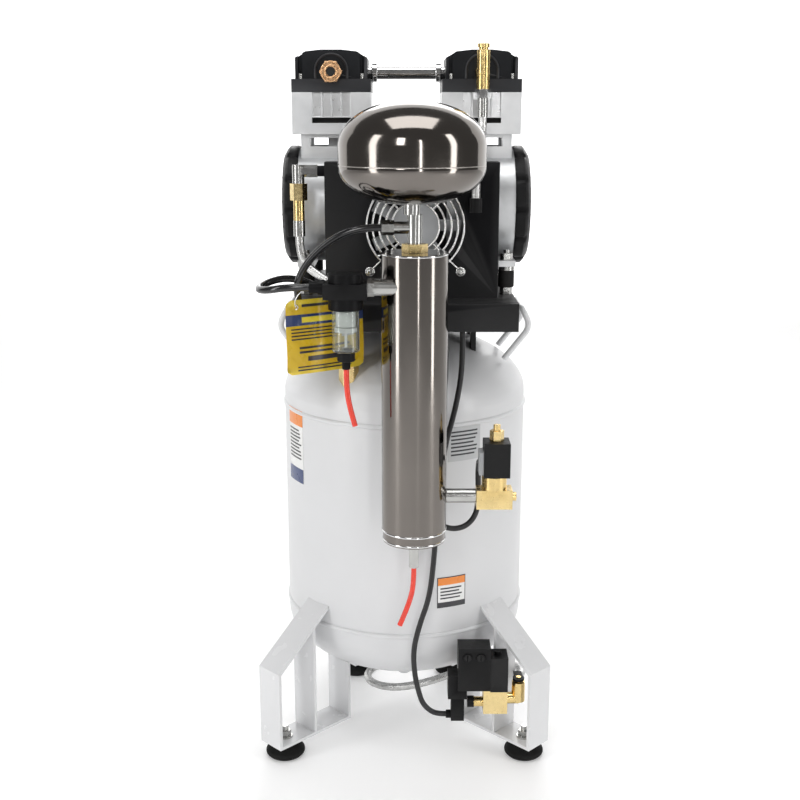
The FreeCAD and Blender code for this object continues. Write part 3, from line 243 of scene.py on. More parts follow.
SHADES = {
    "tank_paint": shade("white_powder_coat", (0.70, 0.705, 0.715), 0.33, tint=0.02, patch=9,
                        grain=420, bump=0.10, rough_vary=0.05, coat=0.12),
    "leg_paint": shade("white_leg_coat", (0.74, 0.745, 0.755), 0.26, tint=0.025, patch=14,
                       grain=420, bump=0.08, rough_vary=0.02, coat=0.12),
    "deck_paint": shade("black_powder_coat", (0.009, 0.009, 0.010), 0.42, tint=0.2, patch=20,
                        grain=700, bump=0.16, wear=0.5, edge=(0.09, 0.09, 0.09)),
    "box_paint": shade("black_texture_coat", (0.005, 0.005, 0.006), 0.58, tint=0.2, patch=25,
                       grain=1500, bump=0.35, wear=0.5, edge=(0.06, 0.06, 0.06)),
    "rubber": shade("black_rubber", (0.010, 0.010, 0.010), 0.62, tint=0.3, patch=40, grain=1100,
                    bump=0.25, wear=0.4, edge=(0.07, 0.068, 0.065)),
    "zinc_steel": shade("zinc_plate", (0.50, 0.50, 0.485), 0.24, metal=1, tint=0.05, patch=70,
                        grain=1300, bump=0.06, rough_vary=0.04),
    "cast_aluminium": shade("cast_aluminium", (0.62, 0.63, 0.64), 0.43, metal=0.85, tint=0.08,
                            patch=35, grain=1000, bump=0.30, wear=0.5, edge=(0.82, 0.82, 0.82)),
    "head_paint": shade("dark_head_paint", (0.013, 0.014, 0.016), 0.40, tint=0.2, patch=40,
                        grain=950, bump=0.30, wear=0.6, edge=(0.10, 0.10, 0.105), coat=0.1),
    "black_plastic": shade("moulded_black", (0.007, 0.007, 0.0075), 0.36, tint=0.2, patch=60,
                           grain=1600, bump=0.18, wear=0.35, edge=(0.06, 0.06, 0.06)),
    "grey_plastic": shade("moulded_grey", (0.42, 0.43, 0.44), 0.42, tint=0.05, patch=60,
                          grain=1500, bump=0.12),
    # The stainless steel's dark brown base colour is a painted reflection: it stands in for the dark
    # room that the bulb and the dryer mirror.
    "polished_steel": shade("stainless_painted_dark_reflection", (0.20, 0.183, 0.168), 0.11, metal=1, tint=0.05,
                            patch=12, grain=260, bump=0.035, rough_vary=0.03),
    "steel_wire": shade("bright_wire", (0.78, 0.78, 0.77), 0.14, metal=1, tint=0.06, patch=60,
                        grain=1500, bump=0.05, rough_vary=0.05),
    "brass": shade("machined_brass", (0.78, 0.58, 0.25), 0.24, metal=1, tint=0.12, patch=60,
                   grain=1400, bump=0.10, wear=0.5, edge=(0.95, 0.80, 0.45)),
    "steel_core": shade("machined_steel", (0.36, 0.36, 0.37), 0.32, metal=1, tint=0.1),
    "winding": shade("varnished_winding", (0.30, 0.12, 0.05), 0.4, metal=0.4, tint=0.2,
                     patch=200),
    "motor_paint": shade("satin_black", (0.014, 0.014, 0.016), 0.42, tint=0.15, patch=30,
                         bump=0.2, wear=0.4, edge=(0.1, 0.1, 0.1)),
    "copper_tube": shade("bare_copper", (0.85, 0.45, 0.30), 0.25, metal=1, tint=0.15, patch=50),
    "bead_fill": shade("white_granules", (0.8, 0.8, 0.76), 0.7, grain=500, bump=0.8),
    "white_plastic": shade("sintered_white", (0.82, 0.82, 0.80), 0.55, grain=1800, bump=0.3),
    "black_tube": shade("glossy_black_nylon", (0.012, 0.012, 0.013), 0.16, tint=0.2, patch=50,
                        bump=0.04, rough_vary=0.05, coat=0.3),
    "cable_jacket": shade("cable_jacket", (0.014, 0.014, 0.015), 0.38, tint=0.25, patch=60,
                          bump=0.12),
    "gauge_face": shade("gauge_black", (0.02, 0.02, 0.022), 0.35, tint=0.2, patch=40),
    "tag_card": shade("yellow_card", (0.88, 0.66, 0.045), 0.30, tint=0.04, patch=25, grain=700,
                      bump=0.06, coat=0.4),
}


def clear_plastic():
    material = shade("clear_bowl", (0.86, 0.90, 0.88), 0.08, tint=0.03, patch=40, grain=300,
                     bump=0.03, rough_vary=0.04)
    shader = material.node_tree.nodes["Principled BSDF"]
    shader.inputs["Transmission Weight"].default_value = 0.94
    shader.inputs["IOR"].default_value = 1.45
    return material


def red_tube():
    material = shade("red_polyurethane", (0.80, 0.05, 0.025), 0.20, tint=0.1, patch=60,
                     bump=0.04, coat=0.3)
    shader = material.node_tree.nodes["Principled BSDF"]
    shader.inputs["Subsurface Weight"].default_value = 0.25
    shader.inputs["Subsurface Radius"].default_value = (0.004, 0.001, 0.001)
    return material


SHADES["clear_plastic"] = clear_plastic()
SHADES["red_tube"] = red_tube()
SHADES["steel_braid"] = shade("steel_braid", (0.60, 0.60, 0.59), 0.30, metal=1, tint=0.15,
                              patch=120, grain=2500, bump=0.3, wear=0.9,
                              edge=(0.85, 0.85, 0.84))
EXTRA = {
    "tag_bright": shade("printed_yellow", (0.92, 0.74, 0.06), 0.3, tint=0.04, coat=0.4),
    "band_blue": shade("tag_blue", (0.02, 0.045, 0.16), 0.3, tint=0.1, coat=0.4),
    "ink_dark": shade("printed_dark", (0.03, 0.03, 0.035), 0.35, tint=0.1, coat=0.3),
    "ink_orange": shade("printed_orange", (0.85, 0.25, 0.03), 0.3, tint=0.05, coat=0.4),
    "label_grey": shade("label_grey", (0.55, 0.56, 0.57), 0.34, tint=0.03, coat=0.3),
    "label_white": shade("label_white", (0.84, 0.84, 0.83), 0.3, tint=0.02, coat=0.4),
    "copper_gold": shade("dichromate_zinc", (0.72, 0.42, 0.22), 0.26, metal=1, tint=0.2,
                         patch=90, wear=0.5, edge=(0.9, 0.65, 0.4)),
    # A near-black painted shade: the dark inside a bore, put on as colour.
    "painted_shade_black": shade("painted_deep_shade", (0.006, 0.006, 0.006), 0.7, tint=0.2),
    "chrome": shade("bright_chrome", (0.74, 0.74, 0.74), 0.10, metal=1, tint=0.05, patch=60,
                    grain=1400, bump=0.04, rough_vary=0.04),
    "bright_cast": shade("machined_aluminium", (0.74, 0.745, 0.75), 0.30, metal=0.9, tint=0.08,
                         patch=60, grain=1200, bump=0.10, rough_vary=0.03),
    "weld_steel": shade("weld_bead", (0.52, 0.49, 0.46), 0.35, metal=1, tint=0.25, patch=150,
                        grain=900, bump=0.6),
}


for dull in ("deck_paint", "box_paint", "head_paint", "black_plastic", "rubber", "motor_paint"):
    SHADES[dull].node_tree.nodes["Principled BSDF"].inputs["Specular IOR Level"].default_value = 0.09


def paint_nodes():
    """Give every CAD node the material of its slot."""
    for entry in frame["record"]["subparts"]:
        piece = frame["nodes"][entry["node"]]
        piece.data.materials.clear()
        piece.data.materials.append(SHADES[entry["material_slot"]])


paint_nodes()


# ---- cords, tubes and hoses ----

# name: (diameter, far end, stiffness, slot, route points in metres)
CORDS = {
    "dryer_air_tube": (0.008, "object", "stiff", "black_tube", [
        (-0.025, -0.215, 0.656), (-0.048, -0.215, 0.656), (-0.076, -0.213, 0.645),
        (-0.101, -0.208, 0.624), (-0.116, -0.203, 0.600), (-0.117, -0.199, 0.580),
        (-0.114, -0.192, 0.565), (-0.109, -0.182, 0.555), (-0.103, -0.170, 0.550),
        (-0.102, -0.156, 0.550)]),
    "filter_air_tube": (0.008, "object", "stiff", "black_tube", [
        (-0.101, -0.238, 0.596), (-0.124, -0.238, 0.596), (-0.147, -0.228, 0.591),
        (-0.160, -0.206, 0.589), (-0.154, -0.180, 0.592), (-0.137, -0.160, 0.595),
        (-0.118, -0.143, 0.591), (-0.104, -0.125, 0.582), (-0.099, -0.106, 0.573),
        (-0.099, -0.088, 0.573)]),
    "filter_drain_tube": (0.006, "bare", "medium", "red_tube", [
        (-0.063, -0.238, 0.508), (-0.063, -0.238, 0.489), (-0.060, -0.239, 0.467),
        (-0.054, -0.240, 0.446)]),
    "dryer_drain_tube": (0.006, "bare", "medium", "red_tube", [
        (0.010, -0.215, 0.274), (0.010, -0.215, 0.253), (0.005, -0.216, 0.230),
        (-0.006, -0.218, 0.204)]),
    "purge_cable": (0.0065, "object", "medium", "cable_jacket", [
        (0.084, -0.203, 0.392), (0.084, -0.188, 0.392), (0.084, -0.177, 0.383),
        (0.084, -0.171, 0.369), (0.085, -0.170, 0.346), (0.083, -0.171, 0.320),
        (0.068, -0.171, 0.304), (0.046, -0.171, 0.304), (0.031, -0.171, 0.320),
        (0.032, -0.171, 0.345), (0.036, -0.170, 0.390), (0.042, -0.168, 0.436),
        (0.046, -0.160, 0.478), (0.047, -0.145, 0.508), (0.046, -0.134, 0.530),
        (0.046, -0.134, 0.552)]),
    "drain_cable": (0.0065, "object", "medium", "cable_jacket", [
        (0.066, -0.134, 0.552), (0.066, -0.134, 0.530), (0.066, -0.142, 0.507),
        (0.064, -0.153, 0.478), (0.057, -0.157, 0.440), (0.046, -0.157, 0.400),
        (0.040, -0.157, 0.350), (0.037, -0.158, 0.302), (0.034, -0.161, 0.256),
        (0.029, -0.165, 0.214), (0.017, -0.168, 0.180), (0.010, -0.169, 0.148),
        (0.012, -0.169, 0.116), (0.017, -0.167, 0.093), (0.021, -0.166, 0.079), (0.029, -0.164, 0.068),
        (0.039, -0.163, 0.062), (0.050, -0.163, 0.062)]),
    "pump_hose": (0.010, "object", "medium", "steel_braid", [
        (0.090, -0.062, 0.769), (0.090, -0.062, 0.752), (0.088, -0.080, 0.734),
        (0.084, -0.104, 0.731), (0.081, -0.118, 0.716), (0.080, -0.120, 0.696),
        (0.080, -0.120, 0.680)]),
    "tank_hose": (0.010, "object", "medium", "steel_braid", [
        (-0.122, -0.096, 0.635), (-0.122, -0.096, 0.617), (-0.114, -0.100, 0.600),
        (-0.096, -0.107, 0.588), (-0.078, -0.111, 0.578), (-0.066, -0.112, 0.562),
        (-0.066, -0.112, 0.540)]),
    "drain_hose": (0.010, "object", "medium", "steel_braid", [
        (-0.012, 0.004, 0.044), (-0.027, 0.004, 0.044), (-0.042, -0.004, 0.044),
        (-0.050, -0.022, 0.043), (-0.046, -0.042, 0.043), (-0.030, -0.056, 0.043),
        (-0.006, -0.062, 0.044), (0.028, -0.060, 0.050), (0.066, -0.052, 0.060),
        (0.102, -0.055, 0.073), (0.128, -0.070, 0.083), (0.146, -0.092, 0.089),
        (0.148, -0.114, 0.092), (0.138, -0.130, 0.092), (0.138, -0.146, 0.092)]),
}


def route_curve(name, points):
    """A smooth open NURBS line whose control points are the route's points."""
    data = bpy.data.curves.new(name, "CURVE")
    data.dimensions = "3D"
    spline = data.splines.new("NURBS")
    spline.points.add(len(points) - 1)
    for spot, place in zip(spline.points, points):
        spot.co = (*place, 1)
    spline.order_u = 3
    spline.use_endpoint_u = True
    spline.resolution_u = 12
    piece = bpy.data.objects.new(name, data)
    bpy.context.scene.collection.objects.link(piece)
    return piece


def line_of(points):
    """Points along the route's NURBS line, in order."""
    curve = route_curve("route_line", points)
    bpy.context.view_layer.update()
    mesh = bpy.data.meshes.new_from_object(curve)
    places = [v.co.copy() for v in mesh.vertices]
    bpy.data.objects.remove(curve)
    bpy.data.meshes.remove(mesh)
    return places


def even_line(points, step):
    """The route's line at even steps, with its length."""
    raw = line_of(points)
    total = sum((b - a).length for a, b in zip(raw, raw[1:]))
    count = max(8, round(total / step))
    spots, walked, index = [], 0.0, 0
    for i in range(count + 1):
        goal = total * i / count
        while index < len(raw) - 2 and walked + (raw[index + 1] - raw[index]).length < goal:
            walked += (raw[index + 1] - raw[index]).length
            index += 1
        piece = (raw[index + 1] - raw[index]).length
        share = min(1, (goal - walked) / piece) if piece > 0 else 0
        spots.append(raw[index].lerp(raw[index + 1], share))
    return spots, total


def tube_mesh(name, spots, radius_at, sides, material):
    """A closed tube along a line; radius_at gives the radius at a step and a side."""
    bm = bmesh.new()
    ahead = (spots[1] - spots[0]).normalized()
    side = ahead.orthogonal().normalized()
    rings = []
    for i, spot in enumerate(spots):
        forward = (spots[min(i + 1, len(spots) - 1)] - spots[max(i - 1, 0)]).normalized()
        side = (side - forward * side.dot(forward)).normalized()
        across = forward.cross(side)
        ring = []
        for j in range(sides):
            angle = 2 * math.pi * j / sides
            out = side * math.cos(angle) + across * math.sin(angle)
            ring.append(bm.verts.new(spot + out * radius_at(i, j)))
        rings.append(ring)
    for low, high in zip(rings, rings[1:]):
        for j in range(sides):
            k = (j + 1) % sides
            bm.faces.new((low[j], low[k], high[k], high[j]))
    bm.faces.new(rings[0][::-1])
    bm.faces.new(rings[-1])
    return finish_mesh(name, bm, material, smooth=70)


BRAID_SIDES = 48
BRAID_STEP = 0.0008


def braid_radius(radius):
    """Strands that cross over and under each other round a hose."""
    def radius_at(i, j):
        one = math.sin(2 * math.pi * (j / 4 + i / 8))
        two = math.sin(2 * math.pi * (j / 4 - i / 8))
        over = 1 if (j // 4 + i // 4) % 2 else -1
        return radius - 0.0003 + 0.0003 * max(one * over, -two * over, -0.4)
    return radius_at


def make_cords():
    for name, (thick, far_end, stiffness, slot, points) in CORDS.items():
        spots, total = even_line(points, BRAID_STEP)
        if slot == "steel_braid":
            piece = tube_mesh(name + "_braid", spots, braid_radius(thick / 2), BRAID_SIDES,
                              SHADES[slot])
        else:
            piece = route_curve(name + "_line", points)
            piece.data.bevel_depth = thick / 2
            piece.data.bevel_resolution = 7
            piece.data.use_fill_caps = True
            piece.data.materials.append(SHADES[slot])
            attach(piece, "root")
        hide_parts(name)


make_cords()


# ---- floor and light ----

def make_stage():
    bm = bmesh.new()
    bmesh.ops.create_grid(bm, x_segments=2, y_segments=2, size=6)
    mesh = bpy.data.meshes.new("studio_floor")
    bm.to_mesh(mesh)
    bm.free()
    floor = link("studio_floor", mesh)
    floor.data.materials.append(shade("pale_floor", (0.86, 0.86, 0.86), 0.55, tint=0.01,
                                      patch=3, bump=0.02))
    glow = floor.data.materials[0].node_tree.nodes["Principled BSDF"]
    glow.inputs["Emission Color"].default_value = (1, 1, 1, 1)
    glow.inputs["Emission Strength"].default_value = 0.20
    card = bmesh.new()
    corners = [card.verts.new(spot) for spot in
               ((-6, 3.2, -0.01), (6, 3.2, -0.01), (6, 3.2, 4), (-6, 3.2, 4))]
    card.faces.new(corners)
    sheet = bpy.data.meshes.new("studio_backdrop")
    card.to_mesh(sheet)
    card.free()
    backdrop = link("studio_backdrop", sheet)
    white = shade("backdrop_white", (0.9, 0.9, 0.9), 0.8, tint=0.01, patch=3, bump=0.02)
    lit = white.node_tree.nodes["Principled BSDF"]
    lit.inputs["Emission Color"].default_value = (1, 1, 1, 1)
    lit.inputs["Emission Strength"].default_value = 0.9
    backdrop.data.materials.append(white)
    world = bpy.data.worlds.new("studio")
    world.use_nodes = True
    world.node_tree.nodes["Background"].inputs["Color"].default_value = (1, 0.98, 0.96, 1)
    world.node_tree.nodes["Background"].inputs["Strength"].default_value = 0.16
    bpy.context.scene.world = world
    bpy.context.scene.view_settings.view_transform = "Standard"


def make_light(name, at, aim, size, power):
    data = bpy.data.lights.new(name, "AREA")
    data.shape = "RECTANGLE"
    data.size, data.size_y = size
    data.energy = power
    lamp = bpy.data.objects.new(name, data)
    lamp.location = at
    lamp.rotation_euler = (Vector(aim) - Vector(at)).to_track_quat("-Z", "Y").to_euler()
    bpy.context.scene.collection.objects.link(lamp)


make_stage()
MIDDLE = (0, -0.05, 0.45)
make_light("left_strip", (-1.75, -1.15, 0.95), MIDDLE, (0.42, 2.3), 17)
make_light("right_strip", (1.75, -1.05, 0.95), MIDDLE, (0.34, 2.3), 14)
make_light("front_strip", (-0.75, -2.5, 1.7), MIDDLE, (0.5, 1.1), 13)
make_light("thin_strip", (0.55, -2.7, 1.0), MIDDLE, (0.12, 1.9), 7)
make_light("top", (0.0, -0.3, 2.5), MIDDLE, (1.5, 1.2), 21)
make_light("rim", (0.3, 2.2, 1.6), MIDDLE, (1.8, 1.2), 14)


# ---- nodes kept as designed, with rounded edges ----

SOFT_EDGES = {
    "front_legs": 0.9, "rear_legs": 0.9, "foot_pads": 1.4, "foot_bolts": 0.5,
    "lifting_handles": 0.5, "pump_platform": 1.6, "rubber_mounts": 1.2, "mount_bolts": 0.5,
    "crankcases": 1.6, "cylinder_blocks": 0.9, "head_screws": 0.4, "crossover_tube": 0.6,
    "line_fittings": 0.6, "relief_pull": 0.5, "cooler_box": 0.9, "fan_frame": 0.8,
    "fan_impeller": 0.5, "dryer_cylinder": 0.8, "dryer_fittings": 0.7, "dryer_bracket": 0.8,
    "filter_head": 1.2, "filter_bowl": 0.5, "filter_element": 0.5, "purge_valve": 0.8,
    "purge_valve_coil": 1.2, "drain_valve": 0.8, "drain_timer": 1.2, "off_time_dial": 0.3,
    "on_time_dial": 0.3, "ball_valve_lever": 0.6, "control_manifold": 0.8,
    "pressure_switch": 2.5, "switch_lever": 0.6, "pressure_gauges": 0.6, "tank_heads": 0.6,
}


PORT_Z, DECK_TOP, PURGE_Z, DRAIN_Z, DRYER_TOP = 0.820, 0.564, 0.359, 0.082, 0.630

# node: regions (material, low corner, high corner) that differ from the rest of the piece
FINISHES = {
    "line_fittings": [
        ("brass", (-1, -1, -1), (1, 1, 1)),
        ("copper_gold", (-0.110, -0.060, PORT_Z - 0.02), (-0.060, 0, PORT_Z + 0.02)),
        ("chrome", (0.070, -0.080, PORT_Z - 0.031), (0.110, -0.040, PORT_Z - 0.0195)),
        ("zinc_steel", (0.070, -0.080, PORT_Z - 0.052), (0.110, -0.040, PORT_Z - 0.0301))],
    "cooler_box": [
        ("chrome", (-0.123, -0.110, DECK_TOP + 0.135), (-0.100, -0.085, DECK_TOP + 0.156)),
        ("zinc_steel", (-0.135, -0.110, DECK_TOP + 0.131), (-0.113, -0.085, DECK_TOP + 0.156)),
        ("brass", (-0.135, -0.110, DECK_TOP + 0.088), (-0.108, -0.080, DECK_TOP + 0.1315)),
        ("zinc_steel", (-0.135, -0.110, DECK_TOP + 0.070), (-0.108, -0.080, DECK_TOP + 0.0895)),
        ("black_plastic", (0.070, -0.135, DECK_TOP + 0.098), (0.090, -0.1032, DECK_TOP + 0.118))],
    "dryer_fittings": [
        ("zinc_steel", (-1, -1, -1), (1, 1, 1)),
        ("brass", (-0.006, -0.232, DRYER_TOP), (0.026, -0.198, DRYER_TOP + 0.0095)),
        ("brass", (-0.006, -0.232, 0.292), (0.026, -0.198, 0.3081))],
    "crossover_tube": [("chrome", (-1, -1, -1), (1, 1, 1))],
    "purge_valve": [
        ("brass", (-1, -1, -1), (1, 1, 1))],
    "purge_valve_coil": [
        ("grey_plastic", (0.080, -0.235, PURGE_Z + 0.025), (0.0864, -0.180, PURGE_Z + 0.053))],
    "off_time_dial": [("black_plastic", (-1, -1, -1), (1, 1, 1))],
    "on_time_dial": [("black_plastic", (-1, -1, -1), (1, 1, 1))],
    "drain_valve": [
        ("black_plastic", (0.070, -0.180, DRAIN_Z - 0.014), (0.0845, -0.140, DRAIN_Z + 0.004))],
    "cylinder_blocks": [
        ("bright_cast", (-0.109, -0.043, 0.769), (-0.063, -0.0424, 0.798)),
        ("bright_cast", (0.067, -0.043, 0.769), (0.113, -0.0424, 0.798)),
        # Faces in a thin band just below each bright machined face get the same black painted shade as
        # the port's bore.
        ("painted_shade_black", (-0.112, -0.0464, 0.7615), (-0.060, -0.030, 0.7685)),
        ("painted_shade_black", (0.064, -0.0464, 0.7615), (0.116, -0.030, 0.7685))],
}


def repaint(piece, regions):
    """Give the faces whose middles lie in a region that region's material."""
    every = {**SHADES, **EXTRA}
    for name, low, high in regions:
        piece.data.materials.append(every[name])
        index = len(piece.data.materials) - 1
        for face in piece.data.polygons:
            if all(a <= c <= b for a, c, b in zip(low, face.center, high)):
                face.material_index = index


def soften_nodes():
    slots = {e["node"]: e["material_slot"] for e in frame["record"]["subparts"]}
    for node, width in SOFT_EDGES.items():
        piece = softened(node, SHADES[slots[node]], width * MM)
        repaint(piece, FINISHES.get(node, []))


soften_nodes()


# ---- receiver skin ----

def tank_skin():
    """The shell as a fine lathe with a softened rim at each end."""
    low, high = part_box("tank_shell")
    bm = bmesh.new()
    profile = [(TANK_RAD - 3 * MM, low.z), (TANK_RAD - 0.6 * MM, low.z), (TANK_RAD, low.z + 1 * MM),
               (TANK_RAD, high.z - 1 * MM), (TANK_RAD - 0.6 * MM, high.z),
               (TANK_RAD - 3 * MM, high.z)]
    lathe(bm, profile + profile[:1], (0, 0, 0), steps=180)
    piece = finish_mesh("receiver_shell", bm, SHADES["tank_paint"])
    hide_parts("tank_shell")


tank_skin()


# ---- expansion bulb ----

def bulb():
    """Drawn cup and dish with one weld seam near the foot."""
    low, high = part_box("expansion_bulb")
    wide = (high.x - low.x) / 2
    seam = low.z + 0.040
    shoulder = high.z - 0.046
    bm = bmesh.new()
    profile = [(0, low.z)]
    for i in range(1, 29):
        turn = math.pi / 2 * i / 28
        profile.append((wide * math.sin(turn) ** 0.86, seam - (seam - low.z) * math.cos(turn)))
    profile += [(wide - 0.0006, seam + 0.0008), (wide, seam + 0.0016), (wide, shoulder)]
    for i in range(1, 33):
        turn = math.pi / 2 * i / 32
        profile.append((wide * math.cos(turn) ** 0.88 if i < 32 else 0.0,
                        shoulder + (high.z - shoulder) * math.sin(turn)))
    lathe(bm, profile, (*BULB_AT, 0), steps=144)
    piece = finish_mesh("bulb_skin", bm, SHADES["polished_steel"])
    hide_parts("expansion_bulb")
    seam_bm = bmesh.new()
    torus(seam_bm, wide - 0.0011, 0.0009, (*BULB_AT, seam + 0.0008), "Z", 144, 10)
    finish_mesh("bulb_seam", seam_bm, EXTRA["weld_steel"])


bulb()


# ---- dryer ----

def dryer_bands():
    """Rolled rims at the top and foot of the dryer's cylinder."""
    low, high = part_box("dryer_cylinder")
    wide = (high.x - low.x) / 2
    centre = ((low.x + high.x) / 2, (low.y + high.y) / 2, 0)
    bm = bmesh.new()
    torus(bm, wide - 0.0007, 0.0013, (*centre[:2], high.z - 0.0015), "Z", 120, 10)
    torus(bm, wide - 0.0009, 0.0015, (*centre[:2], low.z + 0.0130), "Z", 120, 10)
    torus(bm, wide - 0.0018, 0.0014, (*centre[:2], low.z + 0.0022), "Z", 120, 10)
    finish_mesh("dryer_rims", bm, EXTRA["chrome"])


dryer_bands()


# ---- the left head's open port ----

def port_bore():
    """A black disc of painted shade over the gold plug's bore, with its bright rim."""
    spot = (-0.086, -0.0535, PORT_Z)
    shade_disc = bmesh.new()
    lathe(shade_disc, [(0, -0.0004), (0.0050, -0.0004), (0.0050, 0.0010), (0, 0.0010)], spot, "Y", 40)
    finish_mesh("port_bore", shade_disc, EXTRA["painted_shade_black"])
    rim = bmesh.new()
    torus(rim, 0.0068, 0.0012, spot, "Y", 48, 10)
    torus(rim, 0.0112, 0.0009, spot, "Y", 56, 10)
    finish_mesh("port_rim", rim, EXTRA["copper_gold"])


port_bore()


# ---- fan guard ----

def fan_guard():
    """Five wire rings on four radial wires, with an eye and a screw at each corner."""
    wire = 0.0012
    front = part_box("fan_guard")[0].y + wire + 0.0004
    bm = bmesh.new()
    for radius in (0.0562, 0.0492, 0.0418, 0.0344, 0.0274):
        torus(bm, radius, wire, (FAN_AT[0], front, FAN_AT[2]), "Y", 112, 10)
    for step in range(4):
        angle = math.radians(45 + 90 * step)
        ahead = Vector((math.cos(angle), 0, math.sin(angle)))
        middle = Vector((FAN_AT[0], front + 2 * wire * 0.9, FAN_AT[2]))
        rod(bm, middle + ahead * 0.0262, middle + ahead * 0.0708, wire)
    screw_half = 0.0525
    for a in (-1, 1):
        for b in (-1, 1):
            eye = (FAN_AT[0] + a * screw_half, front + 0.0021, FAN_AT[2] + b * screw_half)
            torus(bm, 0.0046, wire, eye, "Y", 32, 10)
    piece = finish_mesh("guard_wires", bm, SHADES["steel_wire"], smooth=50)
    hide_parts("fan_guard")
    heads = bmesh.new()
    for a in (-1, 1):
        for b in (-1, 1):
            eye = (FAN_AT[0] + a * screw_half, front, FAN_AT[2] + b * screw_half)
            pan_screw(heads, eye, 0.0042)
    finish_mesh("guard_screws", heads, SHADES["zinc_steel"])


def rod(bm, start, end, radius, sides=12):
    """A round bar between two points with closed ends."""
    start, end = Vector(start), Vector(end)
    ahead = (end - start).normalized()
    side = ahead.orthogonal().normalized()
    across = ahead.cross(side)
    rings = []
    for spot in (start, end):
        rings.append([bm.verts.new(spot + (side * math.cos(2 * math.pi * i / sides)
                                           + across * math.sin(2 * math.pi * i / sides)) * radius)
                      for i in range(sides)])
    for i in range(sides):
        j = (i + 1) % sides
        bm.faces.new((rings[0][i], rings[0][j], rings[1][j], rings[1][i]))
    bm.faces.new(rings[0][::-1])
    bm.faces.new(rings[1])


def pan_screw(bm, at, radius, tall=0.0022):
    """A low domed screw head facing the front, with a round recess."""
    profile = [(radius, 0), (radius, -tall * 0.45), (radius * 0.86, -tall * 0.8),
               (radius * 0.55, -tall), (radius * 0.28, -tall),
               (radius * 0.22, -tall * 0.4), (0, -tall * 0.4)]
    lathe(bm, profile, at, "Y", 28)


fan_guard()


# ---- head covers ----

def head_covers():
    """The covers with rounded edges, and an arch over the port of each."""
    piece = softened("head_covers", SHADES["head_paint"], 3.6 * MM, 4)
    low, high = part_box("head_covers")
    cover_half, block_half, arch_rad = 0.042, 0.0465, 0.0185
    arch_z = PORT_Z + 0.0015
    arch_foot = PORT_Z - 0.0075
    bm = bmesh.new()
    for centre in (low.x + block_half, high.x - block_half):
        arch = [(centre + arch_rad * math.cos(math.radians(a)),
                 arch_z + arch_rad * math.sin(math.radians(a))) for a in range(0, 181, 10)]
        arch = [(centre + arch_rad, arch_foot)] + arch + [(centre - arch_rad, arch_foot)]
        ridge(bm, arch, -cover_half, 0.0016, 0.0022)
    finish_mesh("head_arches", bm, SHADES["head_paint"])


def ridge(bm, points, y, half, proud):
    """A raised rib with a rounded crown that follows points on a front face."""
    rings = []
    for i, (x, z) in enumerate(points):
        before = Vector(points[max(i - 1, 0)])
        after = Vector(points[min(i + 1, len(points) - 1)])
        ahead = (after - before).normalized()
        side = Vector((-ahead.y, ahead.x))
        ring = []
        for j in range(7):
            turn = math.pi * j / 6
            off = math.cos(turn) * half
            ring.append(bm.verts.new((x + side.x * off, y + 0.0003 - math.sin(turn) * proud,
                                      z + side.y * off)))
        rings.append(ring)
    for low, high in zip(rings, rings[1:]):
        for j in range(6):
            bm.faces.new((low[j], low[j + 1], high[j + 1], high[j]))
        bm.faces.new((low[6], low[0], high[0], high[6]))
    bm.faces.new(rings[0])
    bm.faces.new(rings[-1][::-1])


head_covers()


# ---- end covers ----

def end_covers():
    """Ribbed black shrouds at both ends of the pump."""
    low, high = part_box("end_covers")
    centre_z = (low.z + high.z) / 2
    wide = (high.z - low.z) / 2
    thick = 0.0185
    bm = bmesh.new()
    for side, face in ((-1, low.x), (1, high.x)):
        inner = face - side * thick
        steps = 144
        profile = [(0.0, 1.0), (0.86, 1.0), (0.955, 0.78), (1.0, 0.62), (1.0, 0.12), (0.985, 0.0),
                   (0.955, 0.0), (0.955, 0.60), (0.84, 0.84), (0.0, 0.84)]
        rings = []
        for share, depth in profile:
            ring = []
            for i in range(steps if share else 1):
                angle = 2 * math.pi * i / steps
                groove = 0.0
                if share > 0.97 and i % 12 in (0, 1):
                    groove = 0.035
                radius = wide * max(0.0, share - groove)
                ring.append(bm.verts.new((inner + (face - inner) * depth,
                                          radius * math.cos(angle),
                                          centre_z + radius * math.sin(angle))))
            rings.append(ring)
        for one, two in zip(rings, rings[1:]):
            for i in range(steps):
                j = (i + 1) % steps
                if len(one) == 1:
                    bm.faces.new((one[0], two[i], two[j]))
                elif len(two) == 1:
                    bm.faces.new((one[i], one[j], two[0]))
                else:
                    bm.faces.new((one[i], one[j], two[j], two[i]))
        for step in range(24):
            angle = 2 * math.pi * (step + 0.5) / 24
            out = Vector((0, math.cos(angle), math.sin(angle)))
            middle = Vector((face - side * 0.0004, 0, centre_z))
            rod(bm, middle + out * 0.024, middle + out * 0.058, 0.0011, 8)
    round_edges(bm, 0.5 * MM, 1)
    piece = finish_mesh("end_shrouds", bm, SHADES["black_plastic"])
    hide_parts("end_covers")


end_covers()


# ---- tag and labels ----

